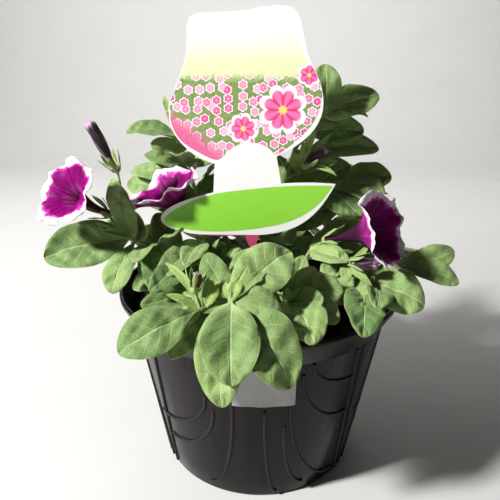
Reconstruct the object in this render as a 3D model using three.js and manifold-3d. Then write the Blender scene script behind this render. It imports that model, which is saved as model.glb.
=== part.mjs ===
// A petunia in a moulded plastic hanging-basket pot, standing on its base, with its picture tag.
// Millimetres, +Z up. The origin is the centre of the pot's flat base; the tag faces -Y.

import * as THREE from 'three';
import { mergeVertices } from 'three/addons/utils/BufferGeometryUtils.js';
import Module from 'manifold-3d';

const wasm = await Module();
wasm.setup();

// ---------------------------------------------------------------- driving dimensions

const SEAT_GAP = 0.3;                     // clearance between pieces that touch

const POT = {
  height: 165, rimRadius: 125, rimLip: 3,
  collarHeight: 23, collarFootRadius: 114,
  baseRadius: 87.5, wall: 2, floor: 2.6, facets: 36,
};
const RIB = { proud: 1.3, sunk: 0.7, halfWidth: 1.2, steps: 3 };
// Each swag of the moulded pattern leaves steeply from [degrees off the panel's middle, height] and
// ends level at the second pair. The panel repeats round the pot.
const SWAGS = [
  [[22, 139], [46, 113]], [[18, 130], [47, 76]], [[14, 102], [46, 10]], [[12, 80], [25, 12]],
  [[3, 97], [10, 6]], [[-11, 102], [-26, 8]], [[-20, 92], [-52, 41]], [[-23, 104], [-58, 62]],
];
const PANELS = 3;
const DRAIN = { radius: 5, ring: 58, count: 6 };
const SOIL = { top: 151, crown: 3, facets: 20 };
// A stem that starts below `top` goes straight down its hole in the soil from `bend` to `low`.
const ROOT = { low: 118, bend: 153, top: 165, clearance: 1 };
const LOWEST_TIP = 171;                   // a ruled leaf ends above this, clear of the rim

const STEM_SIDES = 5;
const BLADE = { thickness: 0.9, stalkThickness: 1.8 };
// Where a blade's cross-sections stand along it and how many strips wide it is, by its width.
const SECTIONS = [
  { from: 34, at: [0, 0.2, 0.54, 0.86, 1], across: [-1, 0, 1] },
  { from: 12, at: [0, 0.34, 0.78, 1], across: [-1, 1] },
  { from: 0, at: [0, 0.6, 1], across: [-1, 1] },
];
const SEPAL = { count: 5, length: 16, splay: 7, radius: 3.8, height: 2.5, thickness: 0.9 };
const TAG = { thickness: 0.8, planeY: -36 };
const LABEL = { from: -20, to: 29, low: 103, high: 139, thickness: 0.5, steps: 10 };

// Where the blade is widest, how full its sides are, and how long its narrow stalk end is.
const OVAL = { peak: 0.54, fullness: 0.62, waist: 0.16, cup: 14 };
const SPOON = { peak: 0.64, fullness: 0.62, waist: 0.45, cup: 12 };
const NARROW = { peak: 0.55, fullness: 0.85, waist: 0.1, cup: 24 };

// ---------------------------------------------------------------- the plant

// A stem is the points that its centre follows, from its foot in the soil, and its two radii.
// A leaf row is: where it leaves the stem (0 foot, 1 tip), where its tip is, its width, how far its
// face leans to the front and to the right in degrees, its outline, and how much it arches.
const FRONT = {
  stems: [
    {
      path: [[-18, -46, 163], [-17, -72, 180], [-17, -100, 190], [-19, -120, 197]],
      radius: [2.8, 1.9],
      leaves: [
        [0.93, [23, -84, 221], 38, [58, -8], OVAL, 0.06],
        [0.86, [-39, -90, 221], 22, [40, -25], OVAL, 0.05],
        [1.00, [-17, -156, 154], 41, [62, 0], OVAL, 0.12],
        [0.96, [21, -149, 148], 42, [58, 14], OVAL, 0.12],
        [0.82, [-24, -152, 135], 38, [60, 0], OVAL, 0.14],
        [0.98, [15, -118, 190], 22, [48, 6], OVAL, 0.08],
        [1.00, [-13, -112, 211], 10, [72, 0], OVAL, 0.05],
        [1.00, [2, -104, 214], 7, [45, 20], NARROW, 0.06],
        [1.00, [-7, -104, 218], 5, [60, 0], NARROW, 0.05],
        [1.00, [-23, -113, 208], 6, [60, -10], NARROW, 0.08],
      ],
      ruled: { count: 6, from: 0.48, to: 0.84, length: [48, 36], width: 0.6, start: 30, rise: [0.1, 0.3],
        without: [0] },
    },
    {
      path: [[-17, -72, 180], [-27, -96, 184], [-41, -112, 187]],
      radius: [1.9, 1.5],
      leaves: [
        [0.96, [-67, -96, 216], 7, [40, -10], NARROW, 0.05],
        [0.98, [-64, -114, 199], 7, [40, -10], NARROW, 0.02],
        [0.98, [-91, -146, 171], 34, [56, -12], SPOON, 0.15],
        [1.00, [-55, -122, 181], 13, [60, 0], OVAL, 0.10],
        [0.90, [-31, -97, 205], 12, [70, 0], OVAL, 0.05],
        [0.60, [-60, -133, 160], 26, [55, -10], OVAL, 0.14],
        [0.20, [-56, -98, 170], 28, [48, -8], OVAL, 0.12],
      ],
    },
    { path: [[-41, -112, 187], [-43, -110, 192], [-45, -107, 197]], radius: [1.2, 1.1] },
  ],
};

const FRONT_RIGHT = {
  stems: [
    {
      path: [[14, -34, 164], [18, -58, 174], [22, -84, 180]],
      radius: [2.5, 1.6],
      leaves: [
        [0.99, [47, -98, 189], 24, [55, 0], OVAL, 0.10],
        [0.98, [37, -132, 171], 34, [52, 10], OVAL, 0.10],
        [0.92, [43, -72, 204], 20, [45, 10], OVAL, 0.08],
        [0.85, [36, -56, 208], 18, [45, 0], OVAL, 0.08],
        [0.80, [64, -79, 188], 30, [45, 15], SPOON, 0.10],
        [1.00, [20, -92, 196], 5, [50, 0], NARROW, 0.12],
        [1.00, [30, -88, 194], 4, [50, 0], NARROW, 0.12],
        [0.66, [58, -100, 171], 32, [48, 8], OVAL, 0.14],
      ],
      ruled: { count: 6, from: 0.5, to: 0.84, length: [46, 36], width: 0.6, start: 15, rise: [0.2, 0.4],
        without: [0] },
    },
  ],
};

const RIGHT = {
  stems: [
    {
      path: [[34, -14, 163], [60, -38, 179], [84, -57, 183], [93, -62, 184],
        [104, -54, 192], [118, -44, 199]],
      radius: [2.8, 1.5],
      leaves: [
        [0.70, [75, -109, 165], 33, [58, 0], OVAL, 0.12],
        [0.72, [126, -80, 176], 38, [50, 12], OVAL, 0.12],
        [0.74, [100, -72, 182], 4, [60, 0], NARROW, 0.05],
        [0.74, [91, -62, 195], 5, [60, 0], NARROW, 0.05],
        [0.98, [160, -36, 207], 23, [48, 0], OVAL, 0.06],
        [0.98, [159, -57, 186], 21, [52, 8], OVAL, 0.06],
        [0.96, [121, -60, 192], 6, [50, 0], NARROW, 0.08],
        [0.86, [140, -10, 196], 28, [-5, 15], OVAL, 0.10],
        [0.62, [112, -8, 184], 30, [0, 15], SPOON, 0.12],
        [0.42, [80, -70, 173], 34, [40, 12], OVAL, 0.16],
        [0.55, [90, -90, 171], 32, [45, 10], OVAL, 0.14],
        [0.45, [99, -6, 203], 34, [40, 5], OVAL, 0.08],
      ],
      ruled: { count: 8, from: 0.4, to: 0.82, length: [50, 38], width: 0.58, start: 135, rise: [0.3, 0.5],
        without: [0, 2, 3] },
    },
    {
      path: [[60, -38, 179], [65, -48, 190], [69, -57, 203]],
      radius: [1.6, 1.2],
      leaves: [
        [0.85, [86, -76, 191], 7, [50, 0], NARROW, 0.12],
        [0.80, [88, -46, 215], 6, [55, 0], NARROW, 0.05],
        [0.95, [62, -56, 214], 5, [60, 0], NARROW, 0.08],
        [0.90, [68, -71, 192], 10, [60, 0], OVAL, 0.12],
      ],
    },
    {
      path: [[42, -21, 169], [38, -26, 188], [44, -28, 204], [52, -28.5, 210]],
      radius: [1.6, 1.3],
      leaves: [
        [0.80, [69, -63, 206], 21, [48, 6], OVAL, 0.08],
        [0.62, [95, 0, 228], 34, [50, 0], OVAL, 0.08],
      ],
    },
  ],
};

const UPPER_RIGHT = {
  stems: [
    {
      path: [[12, 14, 163], [18, 16, 210], [24, 15, 255], [34, 12, 290], [54, 10, 313]],
      radius: [3, 1.6],
      leaves: [
        [1.00, [53, 17, 352], 26, [62, 0], OVAL, 0.08],
        [0.98, [97, 0, 327], 34, [44, 10], OVAL, 0.10],
        [0.98, [86, 17, 322], 21, [22, 0], OVAL, 0.08],
        [0.97, [87, -10, 311], 21, [12, 0], OVAL, 0.08],
        [0.90, [87, 2, 299], 27, [58, 6], OVAL, 0.08],
        [0.76, [101, 4, 284], 25, [55, 6], SPOON, 0.08],
        [0.92, [58, 52, 318], 28, [-35, 10], OVAL, 0.10],
        [0.82, [84, 40, 288], 30, [-30, 20], OVAL, 0.10],
        [0.40, [27, -27, 208], 34, [45, 0], OVAL, 0.10],
        [0.34, [56, -12, 192], 32, [35, 5], OVAL, 0.12],
        [0.46, [72, 2, 238], 33, [50, 5], OVAL, 0.08],
        [0.60, [60, 34, 279], 34, [50, 5], OVAL, 0.08],
      ],
      ruled: { count: 9, from: 0.34, to: 0.82, length: [64, 38], width: 0.58, start: 75, rise: [0.2, 0.6],
        without: [2, 5] },
    },
    {
      path: [[22, 15, 240], [47, 18, 247], [71, 16, 251]],
      radius: [1.6, 1.3],
      leaves: [
        [1.00, [116, 12, 259], 29, [55, 8], OVAL, 0.08],
        [0.92, [108, -2, 246], 27, [50, 8], OVAL, 0.10],
        [0.55, [79, 12, 269], 30, [50, 0], OVAL, 0.08],
        [0.66, [88, -6, 227], 33, [50, 6], OVAL, 0.10],
        [0.75, [92, -9, 240], 4, [50, 0], NARROW, 0.05],
      ],
    },
    {
      path: [[24, 15, 255], [29, -2, 262], [35, -15, 270]],
      radius: [1.3, 1.1],
      leaves: [
        [0.90, [46, -10, 301], 8, [60, 0], NARROW, 0.06],
        [0.85, [62, -27, 266], 7, [35, 0], NARROW, 0.14],
        [0.75, [63, -18, 277], 10, [55, 0], OVAL, 0.08],
        [0.80, [27, -17, 283], 10, [60, 0], OVAL, 0.08],
        [0.85, [35, -13, 292], 7, [55, 0], NARROW, 0.14],
        [0.75, [60, -8, 299], 6, [55, 0], NARROW, 0.10],
      ],
    },
  ],
};

const UPPER_LEFT = {
  stems: [
    {
      path: [[-14, 10, 163], [-34, 17, 205], [-58, 25, 241], [-66, 25, 265], [-73, 23, 290],
        [-82, 24, 312]],
      radius: [2.8, 1.3],
      leaves: [
        [0.89, [-117, 15, 295], 28, [24, 0], OVAL, 0.12],
        [0.80, [-95, 12, 287], 23, [60, -6], OVAL, 0.06],
        [0.75, [-104, 25, 275], 17, [40, -6], OVAL, 0.06],
        [0.71, [-119, 31, 258], 22, [40, -6], OVAL, 0.06],
        [0.78, [-39, 8, 274], 24, [52, 0], OVAL, 0.08],
        [1.00, [-84, 24, 326], 5, [70, 0], NARROW, 0.05],
        [0.96, [-65, 18, 316], 17, [50, 10], OVAL, 0.08],
        [0.86, [-62, 58, 300], 28, [-35, 0], OVAL, 0.10],
        [0.70, [-102, 52, 262], 30, [-20, -20], OVAL, 0.12],
        [0.62, [-125, 38, 246], 30, [50, -8], OVAL, 0.08],
        [0.53, [-37, 26, 258], 36, [52, 5], OVAL, 0.08],
        [0.48, [-100, 14, 232], 30, [45, -8], OVAL, 0.08],
      ],
      ruled: { count: 8, from: 0.36, to: 0.82, length: [62, 36], width: 0.58, start: 165, rise: [0.2, 0.6],
        without: [3] },
    },
  ],
};

const LEFT = {
  stems: [
    {
      path: [[-32, -12, 163], [-62, -26, 192], [-88, -37, 209], [-104, -43, 217]],
      radius: [2.8, 1.9],
      leaves: [
        [1.00, [-169, -62, 207], 43, [54, -8], OVAL, -0.03],
        [0.97, [-113, -79, 184], 24, [60, -6], SPOON, 0.08],
        [0.88, [-80, -70, 182], 25, [52, 0], OVAL, 0.10],
        [0.96, [-90, -50, 231], 9, [20, 50], NARROW, 0.16],
        [0.98, [-107, -45, 253], 18, [64, 0], OVAL, 0.06],
        [1.00, [-128, -53, 233], 8, [50, 0], NARROW, 0.06],
        [1.00, [-123, -58, 227], 9, [50, 0], NARROW, 0.06],
        [0.97, [-121, -24, 262], 22, [62, -30], OVAL, 0.06],
        [0.94, [-134, -4, 220], 32, [-5, -20], OVAL, 0.10],
        [0.80, [-106, 6, 200], 32, [-10, -20], OVAL, 0.12],
        [0.52, [-104, -50, 176], 32, [40, -18], OVAL, 0.14],
        [0.62, [-108, -8, 212], 33, [45, -10], OVAL, 0.08],
        [0.68, [-90, -8, 229], 24, [50, 2], OVAL, 0.08],
      ],
      ruled: { count: 8, from: 0.48, to: 0.86, length: [50, 38], width: 0.58, start: 15, rise: [0.2, 0.5],
        without: [0, 2, 3] },
    },
    {
      path: [[-102, -42, 216], [-111, -36, 236], [-113, -29, 252], [-115, -27.5, 268]],
      radius: [1.3, 1.1],
    },
    {
      path: [[-103, -43, 217], [-112, -40, 223], [-120, -34, 228], [-123.5, -29.5, 231]],
      radius: [1.3, 1.2],
    },
  ],
};

const MIDDLE = {
  stems: [
    {
      path: [[-30, -26, 163], [-38, -28, 186], [-46, -29, 206], [-50, -28, 214]],
      radius: [2.6, 1.6],
      leaves: [
        [0.97, [-77, -77, 196], 25, [52, -6], OVAL, 0.08],
        [0.96, [-55, -80, 208], 21, [52, 0], OVAL, 0.08],
        [0.80, [-81, -89, 190], 22, [55, 0], SPOON, 0.08],
        [0.60, [-88, -91, 179], 22, [55, 0], SPOON, 0.10],
        [0.42, [-74, -88, 172], 30, [45, -5], OVAL, 0.16],
        [0.55, [-18, -24, 206], 30, [45, 5], OVAL, 0.10],
        [0.38, [-88, -80, 170], 30, [40, -10], OVAL, 0.14],
      ],
      ruled: { count: 6, from: 0.5, to: 0.88, length: [46, 38], width: 0.55, start: 195, rise: [0.3, 0.7],
        without: [5] },
    },
    { path: [[-42, -29, 197], [-50, -21, 206], [-56.5, -14, 215]], radius: [1.4, 1.2] },
  ],
};

// The stems that the front view hides carry all their leaves by rule.
const CENTRE = {
  stems: [{
    path: [[-3, 6, 163], [-8, 22, 215], [-12, 30, 262], [-14, 30, 296]], radius: [3, 1.5],
    leaves: [[0.72, [30, 44, 264], 34, [52, 5], OVAL, 0.08]],
    ruled: { count: 10, from: 0.42, to: 1, length: [62, 34], width: 0.56, start: 105, rise: [0.2, 1.1],
      without: [1, 2, 4] },
  }],
};
const BACK = {
  stems: [{
    path: [[0, 36, 163], [4, 72, 200], [6, 100, 232], [8, 110, 256]], radius: [2.8, 1.4],
    ruled: { count: 11, from: 0.34, to: 1, length: [72, 36], width: 0.58, start: 120, rise: [0.05, 1],
      without: [1] },
  }],
};
const BACK_LEFT = {
  stems: [{
    path: [[-26, 26, 163], [-58, 56, 190], [-88, 82, 210], [-98, 90, 228]], radius: [2.8, 1.4],
    ruled: { count: 10, from: 0.36, to: 1, length: [72, 36], width: 0.58, start: 0, rise: [0.05, 1],
      without: [0, 3] },
  }],
};
const BACK_RIGHT = {
  stems: [{
    path: [[28, 28, 163], [62, 54, 190], [92, 76, 210], [103, 84, 228]], radius: [2.8, 1.4],
    ruled: { count: 10, from: 0.36, to: 1, length: [72, 36], width: 0.58, start: 0, rise: [0.05, 1],
      without: [1] },
  }],
};
const GOLDEN_ANGLE = 137.5;

// A bloom is the foot of its tube, the centre of its open face, its radius, how flat the face lies
// (0 a cone, 1 a disc), how deep the edge waves, and the turn of its lobes.
const BLOOMS = {
  bloom_left: { foot: [-125, -28, 233], face: [-147, -62, 260], radius: 28, flat: 0.95, wave: 2.6, turn: 10 },
  bloom_middle: { foot: [-57, -14, 217], face: [-80, -20, 257], radius: 34, flat: 0.35, wave: 3.4, turn: 30 },
  bloom_right: { foot: [54.5, -29, 212.5], face: [96, -62, 232], radius: 32, flat: 0.55, wave: 3.0, turn: 0 },
};
const BUDS = {
  bud_left: { foot: [-115.5, -28, 270], tip: [-131, -40, 309], radius: 4.2 },
  bud_upper_right: { foot: [36.5, -16, 272], tip: [53, -22, 287], radius: 3.4 },
  bud_right: { foot: [70.5, -58.5, 204], tip: [90, -71, 206], radius: 4.2 },
  bud_front: { foot: [-45, -107, 199], tip: [-43, -104, 211], radius: 3.2 },
};

const GREEN = { color: 0x5f8a36, roughness: 0.75 };
const MAGENTA = { color: 0xb0109a, roughness: 0.6 };
const PURPLE = { color: 0x3a1230, roughness: 0.6 };

// ---------------------------------------------------------------- solids

const radians = THREE.MathUtils.degToRad;
const vec = ([x, y, z]) => new THREE.Vector3(x, y, z);

function toSolid(geometry) {
  const bare = geometry.clone();
  bare.deleteAttribute('normal');
  bare.deleteAttribute('uv');
  const merged = mergeVertices(bare, 1e-4);
  const corners = merged.index.array;
  const kept = [];
  for (let i = 0; i < corners.length; i += 3) {
    const [a, b, c] = [corners[i], corners[i + 1], corners[i + 2]];
    if (a !== b && b !== c && c !== a) kept.push(a, b, c);
  }
  return new wasm.Manifold(new wasm.Mesh({
    numProp: 3, vertProperties: merged.attributes.position.array, triVerts: new Uint32Array(kept),
  }));
}

function toGeometry(solid) {
  const { vertProperties, triVerts } = solid.getMesh();
  const geometry = new THREE.BufferGeometry();
  geometry.setAttribute('position', new THREE.BufferAttribute(vertProperties, 3));
  geometry.setIndex(new THREE.BufferAttribute(triVerts, 1));
  geometry.computeVertexNormals();
  return geometry;
}

const fuse = (geometries) => geometries.map(toSolid).reduce((whole, piece) => whole.add(piece));
const cut = (solid, geometries) => geometries
  .map(toSolid)
  .reduce((whole, hole) => whole.subtract(hole), solid);

// Every three points are one triangle.
const fromTriangles = (points) => new THREE.BufferGeometry().setFromPoints(points);

// A closed thin plate from two matching grids of points, both split along the same diagonals.
function plate(top, bottom) {
  const triangles = [];
  const rows = top.length - 1;
  const columns = top[0].length - 1;
  const wall = (i, j, k, l) => triangles.push(
    top[k][l], top[i][j], bottom[i][j], top[k][l], bottom[i][j], bottom[k][l]);
  for (let i = 0; i < rows; i += 1) {
    for (let j = 0; j < columns; j += 1) {
      const corner = (grid) => [grid[i][j], grid[i][j + 1], grid[i + 1][j + 1], grid[i + 1][j]];
      const [a, b, c, d] = corner(top);
      const [e, f, g, h] = corner(bottom);
      triangles.push(a, b, c, a, c, d, e, g, f, e, h, g);
    }
    wall(i, columns, i + 1, columns);
    wall(i + 1, 0, i, 0);
  }
  for (let j = 0; j < columns; j += 1) {
    wall(0, j, 0, j + 1);
    wall(rows, j + 1, rows, j);
  }
  return fromTriangles(triangles);
}

// A closed skin over rings of points; the first and the last ring are single points.
function skin(rings) {
  const triangles = [];
  for (let k = 0; k < rings.length - 1; k += 1) {
    const [low, high] = [rings[k], rings[k + 1]];
    const count = low.length;
    for (let j = 0; j < count; j += 1) {
      const next = (j + 1) % count;
      triangles.push(low[j], low[next], high[next], low[j], high[next], high[j]);
    }
  }
  return fromTriangles(triangles);
}

// A round tube with a ring at each point that its curve was made from.
function taperedTube(curve, [startRadius, endRadius]) {
  const steps = curve.points.length - 1;
  const normal = new THREE.Vector3(1, 0, 0);
  const rings = [];
  for (let i = 0; i <= steps; i += 1) {
    const along = curve.getTangent(i / steps);
    normal.addScaledVector(along, -normal.dot(along)).normalize();
    const binormal = along.clone().cross(normal);
    const radius = THREE.MathUtils.lerp(startRadius, endRadius, i / steps);
    rings.push(Array.from({ length: STEM_SIDES }, (_, j) => {
      const angle = (2 * Math.PI * j) / STEM_SIDES;
      return curve.points[i].clone()
        .addScaledVector(normal, radius * Math.cos(angle))
        .addScaledVector(binormal, radius * Math.sin(angle));
    }));
  }
  const closed = (centre) => Array.from({ length: STEM_SIDES }, () => centre);
  return skin([closed(curve.points[0]), ...rings, closed(curve.points[steps])]);
}

// ---------------------------------------------------------------- leaves, calyces, blooms, buds

function bladeHalfWidth(outline, along) {
  const power = Math.log(0.5) / Math.log(outline.peak);
  const body = Math.sin(Math.PI * along ** power) ** outline.fullness;
  return body * THREE.MathUtils.smoothstep(along, -0.3 * outline.waist, outline.waist);
}

// One leaf from its foot to its tip, with its face turned as near as its line allows to `facing`.
function leafBlade(foot, tip, width, facing, outline, arch) {
  const line = tip.clone().sub(foot);
  const length = line.length();
  line.normalize();
  const up = facing.clone().addScaledVector(line, -facing.dot(line)).normalize();
  const side = line.clone().cross(up);
  const sections = SECTIONS.find(({ from }) => width >= from);
  const fold = radians(outline.cup);
  const surface = (offset) => sections.at.map((along, row) => {
    const thickness = along === 0 ? BLADE.stalkThickness : BLADE.thickness;
    const pointed = along === 0 || along === 1;
    const half = pointed ? 0 : width * 0.5 * bladeHalfWidth(outline, along);
    const centre = foot.clone()
      .addScaledVector(line, along * length)
      .addScaledVector(up, 4 * arch * length * along * (1 - along) + offset * thickness * 0.5);
    return sections.across.map((across) => {
      const wave = (row % 2 === 0 ? 0.05 : -0.05) * half * across;
      return centre.clone()
        .addScaledVector(side, across * half * Math.cos(fold))
        .addScaledVector(up, Math.abs(across) * half * Math.sin(fold) + wave);
    });
  });
  return plate(surface(1), surface(-1));
}

const leaning = ([front, right]) => new THREE.Vector3(
  Math.sin(radians(right)),
  -Math.sin(radians(front)),
  Math.cos(radians(front)) * Math.cos(radians(right)));

// The line of a stem. One that starts in the soil first goes straight up its hole.
function stemLine(path) {
  const [x, y, z] = path[0];
  const root = z <= ROOT.top ? [ROOT.low, ROOT.bend].map((depth) => [x, y, depth]) : [];
  return new THREE.CatmullRomCurve3([...root, ...path].map(vec));
}

// Leaves by rule: each leaves the stem a golden-angle turn after the one below it. The numbers in
// `without` are those that would grow into a neighbour.
function ruledLeaves(curve, { count, from, to, length, width, start, rise, without = [] }) {
  const blade = (i) => {
    const along = i / (count - 1);
    const at = THREE.MathUtils.lerp(from, to, along);
    const foot = curve.getPointAt(at);
    const stemward = curve.getTangentAt(at);
    const turn = radians(start + i * GOLDEN_ANGLE);
    const outward = new THREE.Vector3(Math.cos(turn), Math.sin(turn), 0);
    outward.addScaledVector(stemward, -outward.dot(stemward)).normalize();
    const reach = THREE.MathUtils.lerp(length[0], length[1], along);
    const climb = THREE.MathUtils.lerp(rise[0], rise[1], along);
    const tip = outward.clone().addScaledVector(stemward, climb).setLength(reach).add(foot);
    tip.z = Math.max(tip.z, LOWEST_TIP);
    const facing = new THREE.Vector3(0, 0, 1)
      .addScaledVector(stemward, 0.6)
      .addScaledVector(outward, 0.25);
    return leafBlade(foot, tip, reach * width, facing, OVAL, 0.1);
  };
  const numbers = Array.from({ length: count }, (_, i) => i);
  return numbers.filter((i) => !without.includes(i)).map(blade);
}

// The geometries of one shoot: its stems with their leaves.
function leafyStem({ stems }) {
  return stems.flatMap(({ path, radius, leaves = [], ruled }) => {
    const curve = stemLine(path);
    const blades = leaves.map(([at, tip, width, lean, outline, arch]) => leafBlade(
      curve.getPointAt(at), vec(tip), width, leaning(lean), outline, arch));
    return [taperedTube(curve, radius), ...blades, ...(ruled ? ruledLeaves(curve, ruled) : [])];
  });
}

// Two directions at right angles to an axis and to each other.
const spread = (axis) => {
  const across = new THREE.Vector3(0, 0, 1).cross(axis).normalize();
  return [across, axis.clone().cross(across)];
};

// A round section of `points` = [radius, height] along an axis from `foot`, with `sides` corners.
function turned(foot, axis, points, sides) {
  const [across, over] = spread(axis);
  return skin(points.map(([radius, height]) => Array.from({ length: sides }, (_, j) => {
    const angle = (2 * Math.PI * j) / sides;
    return foot.clone().addScaledVector(axis, height)
      .addScaledVector(across, radius * Math.cos(angle))
      .addScaledVector(over, radius * Math.sin(angle));
  })));
}

// The green cup round a flower's foot, whose rim runs out into narrow sepals, as one closed skin.
function calyx(foot, axis, scale) {
  const [across, over] = spread(axis);
  const { count, length, splay, radius, height, thickness } = SEPAL;
  const ring = (valley, sepal) => Array.from({ length: 2 * count }, (_, j) => {
    const angle = (Math.PI * (j + 0.5)) / count;
    const [r, h] = j % 2 === 0 ? valley : sepal;
    return foot.clone().addScaledVector(axis, h)
      .addScaledVector(across, r * Math.cos(angle))
      .addScaledVector(over, r * Math.sin(angle));
  });
  const even = (r, h) => ring([r, h], [r, h]);
  const tip = [radius + splay * scale, height + length * scale];
  const middle = [radius + splay * scale * 0.35, height + length * scale * 0.45];
  const inside = radius - thickness;
  return skin([
    even(0, -height), even(radius * 0.8, -height * 0.5), ring([radius, height], middle),
    ring([radius, height], tip), ring([inside, height], [middle[0] - thickness, middle[1]]),
    even(inside, -SEAT_GAP), even(0, -SEAT_GAP),
  ]);
}

// A funnel-shaped flower of five fused petals with a waved edge, as one thin closed shell.
function bloom({ foot, face, radius, flat, wave, turn }) {
  const axis = vec(face).sub(vec(foot));
  const tube = axis.length();
  axis.normalize();
  const [across, over] = spread(axis);
  const columns = 20;
  const drop = tube * 0.42 * (1 - flat);
  const outer = [
    [0, 0], [2.1, 0], [2.7, 0.35], [5.2, 0.62], [9.5, 0.8], [radius * 0.62, 0.93], [radius, 1],
  ];
  const inner = [[radius * 0.61, 0.955], [8.6, 0.835], [4.3, 0.66], [1.7, 0.4], [0, 0.3]];
  const ring = ([r, h], raise = 0) => Array.from({ length: columns }, (_, j) => {
    const angle = (2 * Math.PI * j) / columns + radians(turn);
    const out = Math.min(1, r / radius);
    const lobe = 1 - 0.09 * out ** 2 * Math.abs(Math.cos(2.5 * angle)) ** 6;
    const ruffle = out ** 3 * wave * (Math.sin(5 * angle) + 0.6 * Math.sin(10 * angle + 1));
    const height = h * tube - drop * (1 - out) * Math.min(1, h * 2) + ruffle + raise;
    return vec(foot).addScaledVector(axis, height)
      .addScaledVector(across, r * lobe * Math.cos(angle))
      .addScaledVector(over, r * lobe * Math.sin(angle));
  });
  const edge = ring([radius * 0.995, 1], 0.9);
  return skin([...outer.map((point) => ring(point)), edge, ...inner.map((point) => ring(point))]);
}

// A closed bud: a slim tube that swells to a blunt twisted tip.
function bud({ foot, tip, radius }) {
  const axis = vec(tip).sub(vec(foot));
  const length = axis.length();
  axis.normalize();
  const profile = [
    [0, 0], [1.7, 0], [2, 0.24], [radius * 0.9, 0.4], [radius, 0.8], [radius * 0.8, 0.97], [0, 1],
  ];
  return turned(vec(foot), axis, profile.map(([r, h]) => [r, h * length]), 8);
}

// ---------------------------------------------------------------- pot, soil, tag and label

const wallRadius = (z) => THREE.MathUtils.lerp(
  POT.baseRadius, POT.collarFootRadius - 1.6, z / (POT.height - POT.collarHeight));

function potShell() {
  const { height, rimRadius, rimLip, collarHeight, collarFootRadius, baseRadius, wall, floor } = POT;
  const foot = height - collarHeight;
  const profile = [
    [0, 0], [baseRadius - 2, 0], [baseRadius, 2], [wallRadius(foot - 1), foot - 1],
    [collarFootRadius, foot], [rimRadius - 0.8, height - 3], [rimRadius, height - 1.5],
    [rimRadius - 1, height], [rimRadius - rimLip, height - 0.6], [collarFootRadius - wall, foot],
    [wallRadius(foot - 3) - wall, foot - 3], [baseRadius - wall + 0.4, floor], [0, floor],
  ];
  const shell = new THREE.LatheGeometry(profile.map(([r, z]) => new THREE.Vector2(r, z)), POT.facets);
  return shell.rotateX(Math.PI / 2);
}

// One moulded swag on the wall: a quarter turn of an oval from its steep start to its level end.
function swagRib(panelTurn, [[startTurn, startZ], [endTurn, endZ]]) {
  const place = (along, across, out) => {
    const swing = (Math.PI / 2) * along;
    const z = THREE.MathUtils.lerp(startZ, endZ, Math.sin(swing));
    const turn = radians(panelTurn + THREE.MathUtils.lerp(endTurn, startTurn, Math.cos(swing)));
    const run = (endTurn - startTurn) * Math.sin(swing) * radians(1) * wallRadius(z);
    const fall = (startZ - endZ) * Math.cos(swing);
    const size = Math.hypot(run, fall);
    const level = z + (across * run) / size;
    const r = wallRadius(level) + out;
    const sideways = turn + (across * fall) / size / r;
    return new THREE.Vector3(r * Math.cos(sideways), r * Math.sin(sideways), level);
  };
  const section = Array.from({ length: RIB.steps + 1 }, (_, i) => {
    const along = i / RIB.steps;
    return [place(along, -RIB.halfWidth, -RIB.sunk), place(along, RIB.halfWidth, -RIB.sunk),
      place(along, 0, RIB.proud)];
  });
  const point = ([a, c, d]) => {
    const middle = a.clone().add(c).add(d).divideScalar(3);
    return [middle, middle, middle];
  };
  return skin([point(section[0]), ...section, point(section.at(-1))]);
}

function drainHoles() {
  return Array.from({ length: DRAIN.count }, (_, i) => {
    const turn = (2 * Math.PI * i) / DRAIN.count;
    const hole = new THREE.CylinderGeometry(DRAIN.radius, DRAIN.radius, 12, 10).rotateX(Math.PI / 2);
    return hole.translate(DRAIN.ring * Math.cos(turn), DRAIN.ring * Math.sin(turn), 0);
  });
}

function pot() {
  const ribs = Array.from({ length: PANELS }, (_, i) => -90 + (360 / PANELS) * i)
    .flatMap((panelTurn) => SWAGS.map((swag) => swagRib(panelTurn, swag)));
  return cut(fuse([potShell(), ...ribs]), drainHoles());
}

// The soil that fills the pot, with a plain bore for each stem's foot and a slot for the tag's stake.
function soil(feet) {
  const inner = (z) => wallRadius(z) - POT.wall - SEAT_GAP - 0.5;
  const lowest = POT.floor + SEAT_GAP;
  const foot = POT.height - POT.collarHeight - 3;
  const profile = [
    [0, lowest], [inner(lowest) - 1, lowest], [inner(foot), foot],
    [inner(foot) + 1, SOIL.top - 2], [inner(foot) * 0.7, SOIL.top + 0.6],
    [inner(foot) * 0.35, SOIL.top + SOIL.crown], [0, SOIL.top + SOIL.crown],
  ];
  const heap = new THREE.LatheGeometry(profile.map(([r, z]) => new THREE.Vector2(r, z)), SOIL.facets);
  const holes = feet.map(([x, y, radius]) => {
    const bore = new THREE.CylinderGeometry(radius + ROOT.clearance, radius + ROOT.clearance, 60, 6);
    return bore.rotateX(Math.PI / 2).translate(x, y, ROOT.low + 30 - SEAT_GAP);
  });
  const { planeY, thickness } = TAG;
  const slot = new THREE.BoxGeometry(7, thickness + 2 * SEAT_GAP, 80);
  slot.translate(SPIKE.x, planeY, SPIKE.tip + 40 - 1);
  return cut(toSolid(heap.rotateX(Math.PI / 2)), [...holes, slot]);
}

// The die-cut tag: a rounded picture head, a neck, a pointed oval banner and a stake.
const SPIKE = { x: -5.5, tip: 112, halfWidth: 2.2, shoulder: 208 };

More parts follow.
